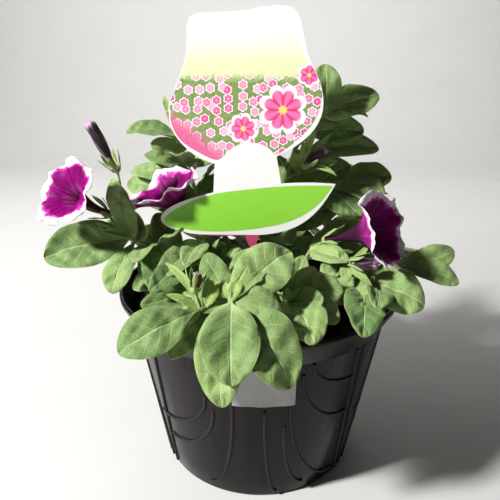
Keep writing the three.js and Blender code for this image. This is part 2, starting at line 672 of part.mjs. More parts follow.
function tagOutline() {
  const outline = new THREE.Shape();
  const { x, tip, halfWidth, shoulder } = SPIKE;
  outline.moveTo(x - halfWidth, shoulder);
  outline.lineTo(-12, 218.5);
  outline.bezierCurveTo(-40, 217, -74, 219, -80, 230);
  outline.bezierCurveTo(-83, 240, -62, 248, -37, 254);
  outline.lineTo(-35.5, 277);
  outline.bezierCurveTo(-56, 283, -74, 300, -69, 322);
  outline.bezierCurveTo(-60, 345, -54, 352, -54, 372);
  outline.bezierCurveTo(-55, 388, -44, 385, -26, 386);
  outline.bezierCurveTo(-8, 386, 0, 391, 18, 390);
  outline.bezierCurveTo(32, 388, 28, 372, 37, 352);
  outline.bezierCurveTo(56, 322, 50, 300, 13, 283);
  outline.lineTo(17, 261.5);
  outline.bezierCurveTo(34, 263, 50, 262.5, 60, 261.5);
  outline.bezierCurveTo(46, 232, 30, 221, 0, 219);
  outline.lineTo(x + halfWidth, shoulder);
  outline.lineTo(x + halfWidth, tip + 10);
  outline.lineTo(x, tip);
  outline.lineTo(x - halfWidth, tip + 10);
  return outline;
}

function tag() {
  const { thickness, planeY } = TAG;
  const card = new THREE.ExtrudeGeometry(tagOutline(), {
    depth: thickness, bevelEnabled: false, curveSegments: 5,
  });
  card.translate(0, 0, -thickness / 2);
  return card.rotateX(Math.PI / 2).translate(0, planeY, 0);
}

// A paper label that follows the pot's wall, just clear of it.
function label() {
  const { from, to, low, high, steps } = LABEL;
  const edge = (z, out) => Array.from({ length: steps + 1 }, (_, i) => {
    const r = wallRadius(z) + out;
    const turn = -Math.PI / 2 + THREE.MathUtils.lerp(from, to, i / steps) / r;
    return new THREE.Vector3(r * Math.cos(turn), r * Math.sin(turn), z);
  });
  const grid = (out) => [edge(low, out), edge(high, out)];
  return plate(grid(SEAT_GAP + LABEL.thickness), grid(SEAT_GAP));
}

// ---------------------------------------------------------------- the assembly

const group = new THREE.Group();

function addPiece(name, geometry, { color, roughness }) {
  const mesh = new THREE.Mesh(geometry, new THREE.MeshStandardMaterial({ color, roughness }));
  mesh.name = name;
  group.add(mesh);
}

const SHOOTS = {
  leafy_stem_front: FRONT,
  leafy_stem_front_right: FRONT_RIGHT,
  leafy_stem_right: RIGHT,
  leafy_stem_upper_right: UPPER_RIGHT,
  leafy_stem_upper_left: UPPER_LEFT,
  leafy_stem_left: LEFT,
  leafy_stem_middle: MIDDLE,
  leafy_stem_centre: CENTRE,
  leafy_stem_back: BACK,
  leafy_stem_back_left: BACK_LEFT,
  leafy_stem_back_right: BACK_RIGHT,
};
// Which leafy stem carries the calyx of each bloom and bud.
const CARRIED_BY = {
  bloom_left: 'leafy_stem_left', bloom_middle: 'leafy_stem_middle', bloom_right: 'leafy_stem_right',
  bud_left: 'leafy_stem_left', bud_upper_right: 'leafy_stem_upper_right',
  bud_right: 'leafy_stem_right', bud_front: 'leafy_stem_front',
};

const axisOf = (from, to) => vec(to).sub(vec(from)).normalize();
const calycesOn = (shoot) => Object.entries({ ...BLOOMS, ...BUDS })
  .filter(([name]) => CARRIED_BY[name] === shoot)
  .map(([name, flower]) => calyx(vec(flower.foot), axisOf(flower.foot, flower.face ?? flower.tip),
    name.startsWith('bloom') ? 1 : 0.8));

// Where each shoot's first stem stands in the soil, and its radius there.
const feet = Object.values(SHOOTS)
  .map(({ stems: [{ path: [[x, y]], radius: [thickest] }] }) => [x, y, thickest]);

addPiece('pot', toGeometry(pot()), { color: 0x1b1c1e, roughness: 0.35 });
addPiece('soil', toGeometry(soil(feet)), { color: 0x2b211a, roughness: 0.95 });
for (const [name, shoot] of Object.entries(SHOOTS)) {
  addPiece(name, toGeometry(fuse([...leafyStem(shoot), ...calycesOn(name)])), GREEN);
}
for (const [name, flower] of Object.entries(BLOOMS)) {
  addPiece(name, toGeometry(toSolid(bloom(flower))), MAGENTA);
}
for (const [name, flower] of Object.entries(BUDS)) {
  addPiece(name, toGeometry(toSolid(bud(flower))), PURPLE);
}
addPiece('plant_tag', toGeometry(toSolid(tag())), { color: 0xe8709a, roughness: 0.3 });
addPiece('pot_label', toGeometry(toSolid(label())), { color: 0xd8d6d2, roughness: 0.5 });

export default group;
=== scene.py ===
"""The looks of a petunia in a moulded hanging-basket pot.

Sizes are in millimetres in the part's frame: +Z up, the origin under the pot's centre, the tag
facing -Y. Meshes are in metres.
"""

import logging
import math
from collections.abc import Callable
from dataclasses import dataclass
from enum import Enum
from functools import cache, partial
from typing import NamedTuple

import bmesh
import bpy
import numpy as np
from mathutils import Matrix, Vector


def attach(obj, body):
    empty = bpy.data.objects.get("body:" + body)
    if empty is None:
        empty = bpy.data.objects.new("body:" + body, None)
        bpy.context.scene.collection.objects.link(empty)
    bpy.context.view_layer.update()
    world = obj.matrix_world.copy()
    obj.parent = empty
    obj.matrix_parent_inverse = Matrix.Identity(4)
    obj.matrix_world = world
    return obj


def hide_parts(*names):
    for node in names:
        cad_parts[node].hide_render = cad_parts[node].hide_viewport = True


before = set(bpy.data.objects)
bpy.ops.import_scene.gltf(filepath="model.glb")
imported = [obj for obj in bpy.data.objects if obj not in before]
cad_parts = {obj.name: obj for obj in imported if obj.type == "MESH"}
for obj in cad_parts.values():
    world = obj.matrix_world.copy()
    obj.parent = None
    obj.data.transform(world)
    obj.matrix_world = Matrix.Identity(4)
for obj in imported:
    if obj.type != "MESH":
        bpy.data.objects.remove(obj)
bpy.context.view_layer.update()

log = logging.getLogger("petunia")
Array = np.ndarray
Socket = bpy.types.NodeSocket
Material = bpy.types.Material
Piece = bpy.types.Object
Add = Callable[..., Socket]     # add_node with its tree given

MM = 0.001
BODY = "root"
GOLDEN_ANGLE = 137.5            # degrees from one ruled leaf to the next one up the stem
ROUND = 2 * math.pi


class Side(Enum):
    """Which face of a leaf or petal a surface is, as its side attribute."""

    UPPER = 0.0
    LOWER = 1.0


# ---- nodes


class Kind(NamedTuple):
    """A type of node: its inputs in the order they are given, its output, and its settings."""

    type: str
    inputs: tuple = (0,)
    output: int | str | None = 0
    settings: dict = {}


MINUS, TIMES, OVER, POWER, TIMES_PLUS, SIZE, SINE, COSINE, ARCTAN2, BELOW, ABOVE, LARGER, PINGPONG = (
    Kind("ShaderNodeMath", (0, 1, 2), 0, {"operation": name}) for name in (
        "SUBTRACT", "MULTIPLY", "DIVIDE", "POWER", "MULTIPLY_ADD", "ABSOLUTE", "SINE", "COSINE",
        "ARCTAN2", "LESS_THAN", "GREATER_THAN", "MAXIMUM", "PINGPONG"))
AWAY, STRETCH = (Kind("ShaderNodeVectorMath", (0, 1), 0, {"operation": name})
                 for name in ("SUBTRACT", "MULTIPLY"))
SCALE = Kind("ShaderNodeVectorMath", (0, "Scale"), 0, {"operation": "SCALE"})
LENGTH = Kind("ShaderNodeVectorMath", (0,), "Value", {"operation": "LENGTH"})
MIX = Kind("ShaderNodeMix", (0, 6, 7), 2, {"data_type": "RGBA"})
SPAN = Kind("ShaderNodeMapRange", (0, 1, 2, 3, 4))
SMOOTH = SPAN._replace(settings={"interpolation_type": "SMOOTHSTEP"})
NOISE = Kind("ShaderNodeTexNoise", ("Vector", "Scale", "Detail", "Roughness", "Distortion"))
WAVE = Kind("ShaderNodeTexWave", ("Vector", "Scale", "Distortion", "Detail"), 1, {"wave_type": "BANDS"})
CELLS = Kind("ShaderNodeTexVoronoi", ("Vector", "Scale", "Randomness"), None, {"voronoi_dimensions": "2D"})
BUMP = Kind("ShaderNodeBump", ("Strength", "Distance", "Height"))
PLACE = Kind("ShaderNodeTexCoord", (), "Object")
UV = Kind("ShaderNodeUVMap", (), 0, {"uv_map": "UVMap"})
TONE, SIDE = (Kind("ShaderNodeAttribute", (), "Fac", {"attribute_name": name}) for name in ("tone", "side"))
SPLIT = Kind("ShaderNodeSeparateXYZ", (0,), None)
JOIN_XYZ = Kind("ShaderNodeCombineXYZ", (0, 1, 2))

GIVEN = Kind("NodeGroupInput", (), None)
RESULT = Kind("NodeGroupOutput", (0,), None)
POSITION = Kind("GeometryNodeInputPosition", ())
HIGHER = Kind("FunctionNodeCompare", (0, 1), 0, {"operation": "GREATER_THAN"})
SCATTER = Kind("GeometryNodeDistributePointsOnFaces", ("Mesh", "Density", "Seed", "Selection"), None)
SET_AT = Kind("GeometryNodeInstanceOnPoints", ("Points", "Instance", "Rotation", "Scale"))
REALIZE = Kind("GeometryNodeRealizeInstances")
DRESS = Kind("GeometryNodeSetMaterial", ("Geometry", "Material"))
SHADE_SMOOTH = Kind("GeometryNodeSetShadeSmooth")
RANDOM_VECTOR = Kind("FunctionNodeRandomValue", (0, 1, "Seed"), 0, {"data_type": "FLOAT_VECTOR"})
RANDOM_SHARE = Kind("FunctionNodeRandomValue", (2, 3, "Seed"), 1, {"data_type": "FLOAT"})
TURN = Kind("FunctionNodeRotateRotation", (0, 1), 0, {"rotation_space": "LOCAL"})
BALL = Kind("GeometryNodeMeshIcoSphere", ("Radius", "Subdivisions"))
SPIKE = Kind("GeometryNodeMeshCone", ("Vertices", "Radius Top", "Radius Bottom", "Depth"), 0,
             {"fill_type": "NONE"})
RING = Kind("GeometryNodeMeshCircle", ("Vertices", "Radius"))
ROD = Kind("GeometryNodeMeshCylinder", ("Vertices", "Radius", "Depth"))
CUT = Kind("GeometryNodeMeshBoolean", ("Mesh 1", "Mesh 2"), 0, {"operation": "DIFFERENCE"})
TO_CURVE = Kind("GeometryNodeMeshToCurve")
CURVE_RING = Kind("GeometryNodeCurvePrimitiveCircle", ("Resolution", "Radius"))
SWEEP = Kind("GeometryNodeCurveToMesh", ("Curve", "Profile Curve", "Fill Caps"))
RESAMPLE = Kind("GeometryNodeResampleCurve", ("Curve", "Length"), 0, {"mode": "LENGTH"})
JOIN = Kind("GeometryNodeJoinGeometry", (0, 0))


def linear(value: object) -> object:
    """Turns an sRGB hex colour into linear RGBA, and passes any other value on.

    Args:
        value: A colour as "#RRGGBB", or a socket's plain value.

    Returns:
        The value for a shader's socket.
    """
    if not isinstance(value, str):
        return value
    parts = (int(value[i:i + 2], 16) / 255 for i in (1, 3, 5))
    return *(c / 12.92 if c <= 0.04045 else ((c + 0.055) / 1.055) ** 2.4 for c in parts), 1.0


def add_node(tree: bpy.types.NodeTree, kind: Kind, *values: object) -> Socket:
    """Adds one node with its settings and fills its inputs.

    Args:
        tree: The shader or geometry tree.
        kind: The type of node.
        values: For each of the kind's inputs in turn, a value or the output that feeds it.

    Returns:
        The kind's output, or all outputs where the kind names none.
    """
    node = tree.nodes.new(kind.type)
    for name, value in kind.settings.items():
        setattr(node, name, value)
    for name, value in zip(kind.inputs, values):
        if isinstance(value, Socket):
            tree.links.new(value, node.inputs[name])
        else:
            node.inputs[name].default_value = linear(value)
    return node.outputs if kind.output is None else node.outputs[kind.output]


def grow(source: Piece, name: str, finish: "Finish", values: dict[str, float],
         body: Callable[[Add, dict], Socket]) -> Piece:
    """Runs geometry nodes on an object and keeps the result as a plain mesh.

    Args:
        source: The object that the nodes read.
        name: The new piece's name.
        finish: Its finish.
        values: The nodes' named inputs. A whole number is a count or a seed.
        body: Adds the nodes that lead from the given inputs to the new shape, which it returns.

    Returns:
        The new piece, at the origin.
    """
    tree = bpy.data.node_groups.new(name, "GeometryNodeTree")
    types = {"Source": "Geometry"}
    types |= {label: "Int" if isinstance(value, int) else "Float" for label, value in values.items()}
    sockets = {label: tree.interface.new_socket(label, in_out="INPUT", socket_type=f"NodeSocket{kind}")
               for label, kind in types.items()}
    tree.interface.new_socket("Result", in_out="OUTPUT", socket_type="NodeSocketGeometry")
    add = partial(add_node, tree)
    add(RESULT, add(DRESS, body(add, add(GIVEN)), finish.build()))
    modifier = source.modifiers.new(name, "NODES")
    modifier.node_group = tree
    for label, value in values.items():
        modifier[sockets[label].identifier] = value
    bpy.context.view_layer.update()
    mesh = bpy.data.meshes.new_from_object(source.evaluated_get(bpy.context.evaluated_depsgraph_get()))
    source.modifiers.remove(modifier)
    mesh.name = name
    return link(name, mesh)


# ---- curves and meshes


def unit(vector: Array) -> Array:
    """Scales a vector, or each row of an array of vectors, to length one."""
    return vector / np.maximum(np.linalg.norm(vector, axis=-1, keepdims=True), 1e-12)


def smoothstep(value: Array, low: float, high: float) -> Array:
    """Rises smoothly from 0 at `low` to 1 at `high`."""
    share = np.clip((value - low) / (high - low), 0, 1)
    return share * share * (3 - 2 * share)


def circle(count: int) -> Array:
    """Gives `count` even turns in radians."""
    return np.linspace(0, ROUND, count, endpoint=False)


def spread(turns: Array, across: Array, over: Array) -> Array:
    """Gives the directions at turns round the axis that `across` and `over` are square to."""
    return np.cos(turns)[:, None] * across + np.sin(turns)[:, None] * over


def spread_round(axis: Array, turns: Array) -> Array:
    """Gives the directions at turns round an axis that isn't upright."""
    across = unit(np.cross((0.0, 0.0, 1.0), axis))
    return spread(turns, across, np.cross(axis, across))


def turned(profile: list[tuple[float, float]], turns: Array) -> Array:
    """Turns a section of radii and heights round the Z axis. Returns its rings of points."""
    out = spread(turns, np.array([1.0, 0.0, 0.0]), np.array([0.0, 1.0, 0.0]))
    return np.stack([r * out + (0.0, 0.0, z) for r, z in profile])


def link(name: str, data: bpy.types.ID) -> Piece:
    """Puts a mesh, light or camera in the scene as an object.

    Args:
        name: The object's name.
        data: The mesh, light or camera.

    Returns:
        The object.
    """
    item = bpy.data.objects.new(name, data)
    bpy.context.scene.collection.objects.link(item)
    return item


def raw_mesh(name: str, points: Array, faces: list, edges: list = ()) -> bpy.types.Mesh:
    """Makes a mesh of points in metres and its faces or bare edges.

    Args:
        name: The mesh's name.
        points: Its points, in metres.
        faces: The points of each face.
        edges: The points of each bare edge.

    Returns:
        The mesh.
    """
    mesh = bpy.data.meshes.new(name)
    mesh.from_pydata(np.asarray(points).tolist(), edges, faces)
    return mesh


def closed_piece(mesh: bpy.types.Mesh, name: str, sharp: float) -> Piece:
    """Merges a mesh's seams and poles, turns its faces outward and links it as an object.

    Args:
        mesh: The mesh to finish.
        name: The piece's name.
        sharp: Edges that bend more than this many degrees stay sharp.

    Returns:
        The object, at the origin.
    """
    work = bmesh.new()
    work.from_mesh(mesh)
    bmesh.ops.remove_doubles(work, verts=work.verts, dist=2e-6)
    bmesh.ops.dissolve_degenerate(work, edges=work.edges, dist=1e-7)
    bmesh.ops.recalc_face_normals(work, faces=work.faces)
    for face in work.faces:
        face.smooth = True
    work.to_mesh(mesh)
    work.free()
    mesh.set_sharp_from_angle(angle=math.radians(sharp))
    return link(name, mesh)


def settle(piece: Piece, slot: str, node: str, finish: "Finish | None" = None) -> None:
    """Dresses a finished piece, hides the part's node that it stands for, and logs it.

    Args:
        piece: The finished object.
        slot: The record's material slot, which is only named in the log.
        node: The part's node that it stands for.
        finish: Its finish, where the mesh has none yet.
    """
    if finish:
        piece.data.materials.append(finish.build())
    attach(piece, BODY)
    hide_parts(node)
    log.info("%s: %d faces, slot %s, stands for %s", piece.name, len(piece.data.polygons), slot, node)


class StemCurve:
    """A centripetal Catmull-Rom curve, read by its length from 0 at the foot to 1 at the tip."""

    def __init__(self, points: list[tuple[float, float, float]]) -> None:
        """Measures the curve through the points.

        Args:
            points: The points, in millimetres.
        """
        self.points = np.array(points, float)
        self.shares = np.linspace(0, 1, 201)
        steps = np.linalg.norm(np.diff(self.point(self.shares), axis=0), axis=1)
        self.reach = np.concatenate([[0.0], np.cumsum(steps)])
        self.length = float(self.reach[-1])

    def point(self, share: Array) -> Array:
        """Finds points by the curve's own parameter.

        Args:
            share: The places, 0 to 1.

        Returns:
            One point for each place.
        """
        last = len(self.points) - 1
        spot = np.atleast_1d(share) * last
        index = np.minimum(np.floor(spot).astype(int), last - 1)
        weight = (spot - index)[:, None]
        padded = np.vstack([2 * self.points[0] - self.points[1], self.points,
                            2 * self.points[-1] - self.points[-2]])
        p0, p1, p2, p3 = (padded[index + k] for k in range(4))
        d0, d1, d2 = (np.sqrt(np.linalg.norm(b - a, axis=1, keepdims=True))
                      for a, b in ((p0, p1), (p1, p2), (p2, p3)))
        t1 = ((p1 - p0) / d0 - (p2 - p0) / (d0 + d1) + (p2 - p1) / d1) * d1
        t2 = ((p2 - p1) / d1 - (p3 - p1) / (d1 + d2) + (p3 - p2) / d2) * d1
        cubic = 2 * p1 - 2 * p2 + t1 + t2
        square = -3 * p1 + 3 * p2 - 2 * t1 - t2
        return p1 + weight * (t1 + weight * (square + weight * cubic))

    def at(self, share: float) -> tuple[Array, Array]:
        """Finds a place by its length.

        Args:
            share: How far along the length, 0 to 1.

        Returns:
            The point there and the direction of growth.
        """
        spot = np.interp(share * self.length, self.reach, self.shares)
        before, after = self.point(np.clip([spot - 1e-4, spot + 1e-4], 0, 1))
        return self.point(spot)[0], unit(after - before)


class QuadMesh:
    """Collects grids and rings of quads, with a UV and two attributes for each point."""

    def __init__(self) -> None:
        """Starts empty."""
        self.points, self.faces, self.uv, self.tone, self.side = [], [], [], [], []
        self.count = 0

    def _add(self, points: Array, uv: Array, tone: float, sides: list[Side]) -> Array:
        """Adds a grid's points.

        Args:
            points: The grid.
            uv: Its coordinates: across and along.
            tone: Its own shade, 0 to 1.
            sides: The side that each row is on, or all of them.

        Returns:
            The points' numbers in the grid's shape.
        """
        shape = points.shape[:-1]
        numbers = self.count + np.arange(math.prod(shape)).reshape(shape)
        self.count += numbers.size
        self.points.append(points.reshape(-1, 3))
        self.uv.append(uv.reshape(-1, 2))
        self.tone.append(np.full(numbers.size, tone))
        values = np.array([[side.value] for side in sides])
        self.side.append(np.broadcast_to(values, shape).ravel())
        return numbers

    def _quads(self, rows: Array) -> None:
        """Adds the quads between each row of numbers and the next."""
        corners = rows[:-1, :-1], rows[:-1, 1:], rows[1:, 1:], rows[1:, :-1]
        self.faces.append(np.stack(corners, -1).reshape(-1, 4))

    def sheet(self, upper: Array, lower: Array, uv: Array, tone: float = 0.5) -> None:
        """Adds a thin closed sheet.

        Args:
            upper: The grid of the upper face.
            lower: The matching grid of the lower face.
            uv: The grid's coordinates: across and along.
            tone: The sheet's own shade, 0 to 1.
        """
        top = self._add(upper, uv, tone, [Side.UPPER])
        bottom = self._add(lower, uv, tone, [Side.LOWER])
        self._quads(top)
        self._quads(bottom[:, ::-1])
        for edge in ((0, slice(None)), (-1, slice(None)), (slice(None), 0), (slice(None), -1)):
            self._quads(np.stack([top[edge], bottom[edge]]))

    def skin(self, rings: Array, levels: Array | None = None, sides: tuple = (Side.UPPER,)) -> None:
        """Adds a closed skin over rings of points; its first and last ring are single points.

        Args:
            rings: Rings by points by three.
            levels: The rings' own coordinate, even from 0 to 1 where it is left out.
            sides: The side that each ring is on, or all of them.
        """
        closed = np.concatenate([rings, rings[:, :1]], 1)
        levels = np.linspace(0, 1, len(rings)) if levels is None else levels
        uv = np.stack(np.meshgrid(np.linspace(0, 1, closed.shape[1]), levels), -1)
        self._quads(self._add(closed, uv, 0.5, sides))

    def build(self, name: str, sharp: float) -> Piece:
        """Makes the object.

        Args:
            name: The piece's name.
            sharp: Edges that bend more than this many degrees stay sharp.

        Returns:
            The object, at the origin.
        """
        faces = np.concatenate(self.faces)
        mesh = raw_mesh(name, np.concatenate(self.points) * MM, faces.tolist())
        layer = mesh.uv_layers.new(name="UVMap")
        layer.data.foreach_set("uv", np.concatenate(self.uv)[faces.ravel()].ravel())
        for label, values in (("tone", self.tone), ("side", self.side)):
            attribute = mesh.attributes.new(label, "FLOAT", "POINT")
            attribute.data.foreach_set("value", np.concatenate(values).astype(np.float32))
        return closed_piece(mesh, name, sharp)


# ---- finishes


@dataclass(frozen=True)
class Finish:
    """What every finish shares. `bump` is its relief's strength and depth in millimetres."""

    name: str
    roughness: float = 0.5
    ior: float = 1.45
    bump: tuple[float, float] = (0.0, 0.0)
    sockets: tuple = ()

    @cache
    def build(self) -> Material:
        """Makes the material, once for each finish.

        Returns:
            The material.
        """
        material = bpy.data.materials.new(self.name)
        material.use_nodes = True
        tree = material.node_tree
        shader = tree.nodes["Principled BSDF"]
        for name, value in (("Roughness", self.roughness), ("IOR", self.ior), *self.sockets):
            shader.inputs[name].default_value = linear(value)
        painted = self.paint(partial(add_node, tree), add_node(tree, PLACE))
        relief = painted.pop("Relief", None)
        strength, depth = self.bump
        if strength:
            painted["Normal"] = add_node(tree, BUMP, strength, depth * MM, relief)
        for name, socket in painted.items():
            tree.links.new(socket, shader.inputs[name])
        return material

    def paint(self, add: Add, place: Socket) -> dict[str, Socket]:
        """Paints the surface.

        Args:
            add: Adds a node to the material's tree.
            place: Where a point lies on the object, in metres.

        Returns:
            What feeds the shader's sockets, and the relief.
        """
        raise NotImplementedError


@dataclass(frozen=True)
class DownyLeaf(Finish):
    """A thin, soft living leaf. Short pale hairs grey the green and give a velvety sheen at the
    edges, light goes through the blade, and the veins are sunk and paler."""

    name: str = "downy_petunia_leaf"
    roughness: float = 0.62
    bump: tuple[float, float] = (0.9, 1.0)
    sockets: tuple = (
        ("Sheen Weight", 0.18), ("Sheen Roughness", 0.45), ("Sheen Tint", "#E4ECD2"),
        ("Specular IOR Level", 0.3), ("Subsurface Weight", 0.16),
        ("Subsurface Radius", (0.8, 1.0, 0.25)), ("Subsurface Scale", 1.2 * MM))
    deep: str = "#5A7642"
    bright: str = "#97AF6C"
    young: str = "#9DB860"
    vein: str = "#B9C98C"
    rim: str = "#B3C383"
    under: str = "#8CA36C"
    vein_pairs: float = 7.0
    pucker_mm: float = 3.2
    grain_mm: float = 0.75
    patch_mm: float = 24.0

    def paint(self, add: Add, place: Socket) -> dict[str, Socket]:
        """Paints veins, a painted sheen at the rim and a speckle of painted glints off the down over a green
        of the leaf's own tone.

        Args:
            add: Adds a node to the material's tree.
            place: Where a point lies on the object, in metres.

        Returns:
            What feeds the shader's sockets, and the relief.
        """
        across, along, _ = add(SPLIT, add(UV))
        tone, side = add(TONE), add(SIDE)
        centred = add(TIMES_PLUS, across, 2.0, -1.0)
        off = add(SIZE, centred)        # 0 on the midrib, 1 at the margin
        # the side veins leave the midrib in turn on either side and bend towards the tip
        back = add(TIMES_PLUS, add(POWER, off, 1.25), -0.2, along)
        shift = add(TIMES_PLUS, add(ABOVE, centred, 0.0), 0.5, tone)
        saw = add(PINGPONG, add(TIMES_PLUS, back, self.vein_pairs, shift), 0.5)
        side_vein = add(TIMES, add(SMOOTH, saw, 0.0, 0.09, 1.0, 0.0), add(SMOOTH, off, 0.55, 0.95, 1.0, 0.0))
        midrib = add(SMOOTH, off, 0.0, 0.07, 1.0, 0.0)
        veins = add(LARGER, add(TIMES, side_vein, 0.2), add(TIMES, midrib, 0.5))
        pucker = add(NOISE, place, 1 / (self.pucker_mm * MM), 3.0, 0.6)
        grain_and_glint = add(NOISE, place, 1 / (self.grain_mm * MM), 2.0, 0.7)
        patch = add(NOISE, place, 1 / (self.patch_mm * MM), 1.0)
        shade = add(TIMES_PLUS, tone, 0.5, add(TIMES_PLUS, patch, 0.9, -0.25))
        body = add(MIX, shade, self.deep, self.bright)
        # tones past 1 mark the young growth at the tips
        body = add(MIX, add(SPAN, tone, 1.0, 1.5, 0.0, 0.9), body, self.young)
        # the fine light and dark speckle is a painted glint off the hairs; the same noise also gives real
        # relief
        body = add(SCALE, body, add(SPAN, grain_and_glint, 0.35, 0.7, 0.74, 1.38))
        for share, colour in ((veins, self.vein),
                              (add(SMOOTH, along, 0.0, 0.22, 0.8, 0.0), self.vein),
                              # the pale margin is a painted sheen of the hairs along the edge
                              (add(SMOOTH, off, 0.965, 1.0, 0.0, 0.6), self.rim),
                              (add(TIMES, side, 0.6), self.under)):
            body = add(MIX, share, body, colour)
        relief = add(TIMES_PLUS, pucker, 0.6, add(TIMES, veins, -0.9))
        return {"Base Color": body, "Relief": add(TIMES_PLUS, grain_and_glint, 0.3, relief)}


@dataclass(frozen=True)
class GreenStem(Finish):
    """A soft young stem: yellow-green, ribbed lengthwise and a little downy, flushed purple."""

    name: str = "soft_green_stem"
    bump: tuple[float, float] = (0.4, 0.3)
    sockets: tuple = (
        ("Sheen Weight", 0.4), ("Sheen Tint", "#E6ECD8"), ("Subsurface Weight", 0.2),
        ("Subsurface Radius", (0.8, 1.0, 0.3)), ("Subsurface Scale", 1.0 * MM))
    green: str = "#7F9650"
    pale: str = "#A9B876"
    flush: str = "#5E4A3C"
    patch_mm: float = 16.0

    def paint(self, add: Add, place: Socket) -> dict[str, Socket]:
        """Paints the ribs and the flush.

        Args:
            add: Adds a node to the material's tree.
            place: Where a point lies on the object, in metres.

        Returns:
            What feeds the shader's sockets, and the relief.
        """
        rib = add(WAVE, add(UV), 6.0, 1.5, 1.0)
        flushed = add(SPAN, add(NOISE, place, 1 / (self.patch_mm * MM), 2.0), 0.55, 0.8, 0.0, 0.5)
        body = add(MIX, flushed, add(MIX, rib, self.green, self.pale), self.flush)
        return {"Base Color": body, "Relief": rib}


@dataclass(frozen=True)
class PicoteePetal(Finish):
    """A thin, velvety magenta petal with a ruffled white margin. Fine veins run out from the
    throat, and the funnel's outside is a duller, darker purple."""

    name: str = "picotee_petunia_petal"
    roughness: float = 0.48
    bump: tuple[float, float] = (0.6, 0.5)
    sockets: tuple = (
        ("Specular IOR Level", 0.1), ("Subsurface Weight", 0.06),
        ("Subsurface Radius", (1.0, 0.4, 0.8)), ("Subsurface Scale", 1.0 * MM))
    face: str = "#8E0270"
    face_dark: str = "#560340"
    streak: str = "#C86BB4"
    blush: str = "#D23FA8"
    margin: str = "#F1E9EF"
    margin_dark: str = "#C9B7C5"
    outside: str = "#A52E8A"
    outside_dark: str = "#6A1556"
    tube: str = "#35132E"
    ragged_mm: float = 14.0

    def paint(self, add: Add, place: Socket) -> dict[str, Socket]:
        """Paints the rays, the throat, the outside and the white margin.

        Args:
            add: Adds a node to the material's tree.
            place: Where a point lies on the object, in metres.

        Returns:
            What feeds the shader's sockets, and the relief.
        """
        around, out, _ = add(SPLIT, add(UV))
        # where a petal meets the next one the colour reaches nearer to the edge
        fold = add(POWER, add(SIZE, add(COSINE, add(TIMES, around, 5 * math.pi))), 5.0)
        ragged = add(NOISE, place, 1 / (self.ragged_mm * MM), 4.0, 0.6)
        past = add(MINUS, out, add(TIMES_PLUS, ragged, 0.6, add(TIMES_PLUS, fold, 0.12, 0.48)))
        # veins spread like rays from the throat
        wide = add(JOIN_XYZ, add(TIMES, around, 55.0), add(TIMES, out, 2.2))
        rays = add(NOISE, wide, 1.0, 3.0, 0.6, 0.4)
        dark = add(SPAN, rays, 0.35, 0.65)
        # pale streaks in the throat, then the dark tube
        light = add(TIMES, add(SMOOTH, out, 0.12, 0.42, 1.0, 0.0), add(SPAN, rays, 0.42, 0.6, 0.8, 0.0))
        body = add(MIX, light, add(MIX, dark, self.face, self.face_dark), self.streak)
        body = add(MIX, add(SPAN, out, 0.05, 0.2, 0.85, 0.0), body, self.tube)
        back = add(MIX, dark, self.outside, self.outside_dark)
        back = add(MIX, add(SMOOTH, out, 0.2, 0.62, 1.0, 0.0), back, self.tube)
        body = add(MIX, add(SIDE), body, back)
        # the magenta bleeds a little into the white
        body = add(MIX, add(SMOOTH, past, -0.09, 0.0, 0.0, 0.75), body, self.blush)
        edge = add(MIX, dark, self.margin, self.margin_dark)
        return {"Base Color": add(MIX, add(SMOOTH, past, -0.01, 0.05), body, edge), "Relief": rays}


@dataclass(frozen=True)
class FurledPetal(Finish):
    """A closed bud: petals rolled into a ribbed dark purple stick with a crumpled pale tip."""

    name: str = "furled_bud_petal"
    bump: tuple[float, float] = (0.7, 0.4)
    sockets: tuple = (("Sheen Weight", 0.2), ("Sheen Tint", "#E9C9E0"))
    dark: str = "#1C0C18"
    rib: str = "#5A2449"
    base: str = "#C9C6B2"
    tip: str = "#C79BBD"

    def paint(self, add: Add, place: Socket) -> dict[str, Socket]:
        """Paints the ribs between the pale foot and the paler tip.

        Args:
            add: Adds a node to the material's tree.
            place: Where a point lies on the object, in metres.

        Returns:
            What feeds the shader's sockets, and the relief.
        """
        around, along, _ = add(SPLIT, add(UV))
        streak = add(NOISE, add(JOIN_XYZ, add(TIMES, around, 22.0), add(TIMES, along, 3.0)), 1.0, 3.0, 0.6)
        body = add(MIX, add(SPAN, streak, 0.48, 0.7), self.dark, self.rib)
        body = add(MIX, add(SMOOTH, along, 0.06, 0.3, 1.0, 0.0), body, self.base)
        high = add(SMOOTH, add(TIMES_PLUS, streak, 0.25, along), 0.99, 1.12, 0.0, 0.9)
        return {"Base Color": add(MIX, high, body, self.tip), "Relief": streak}


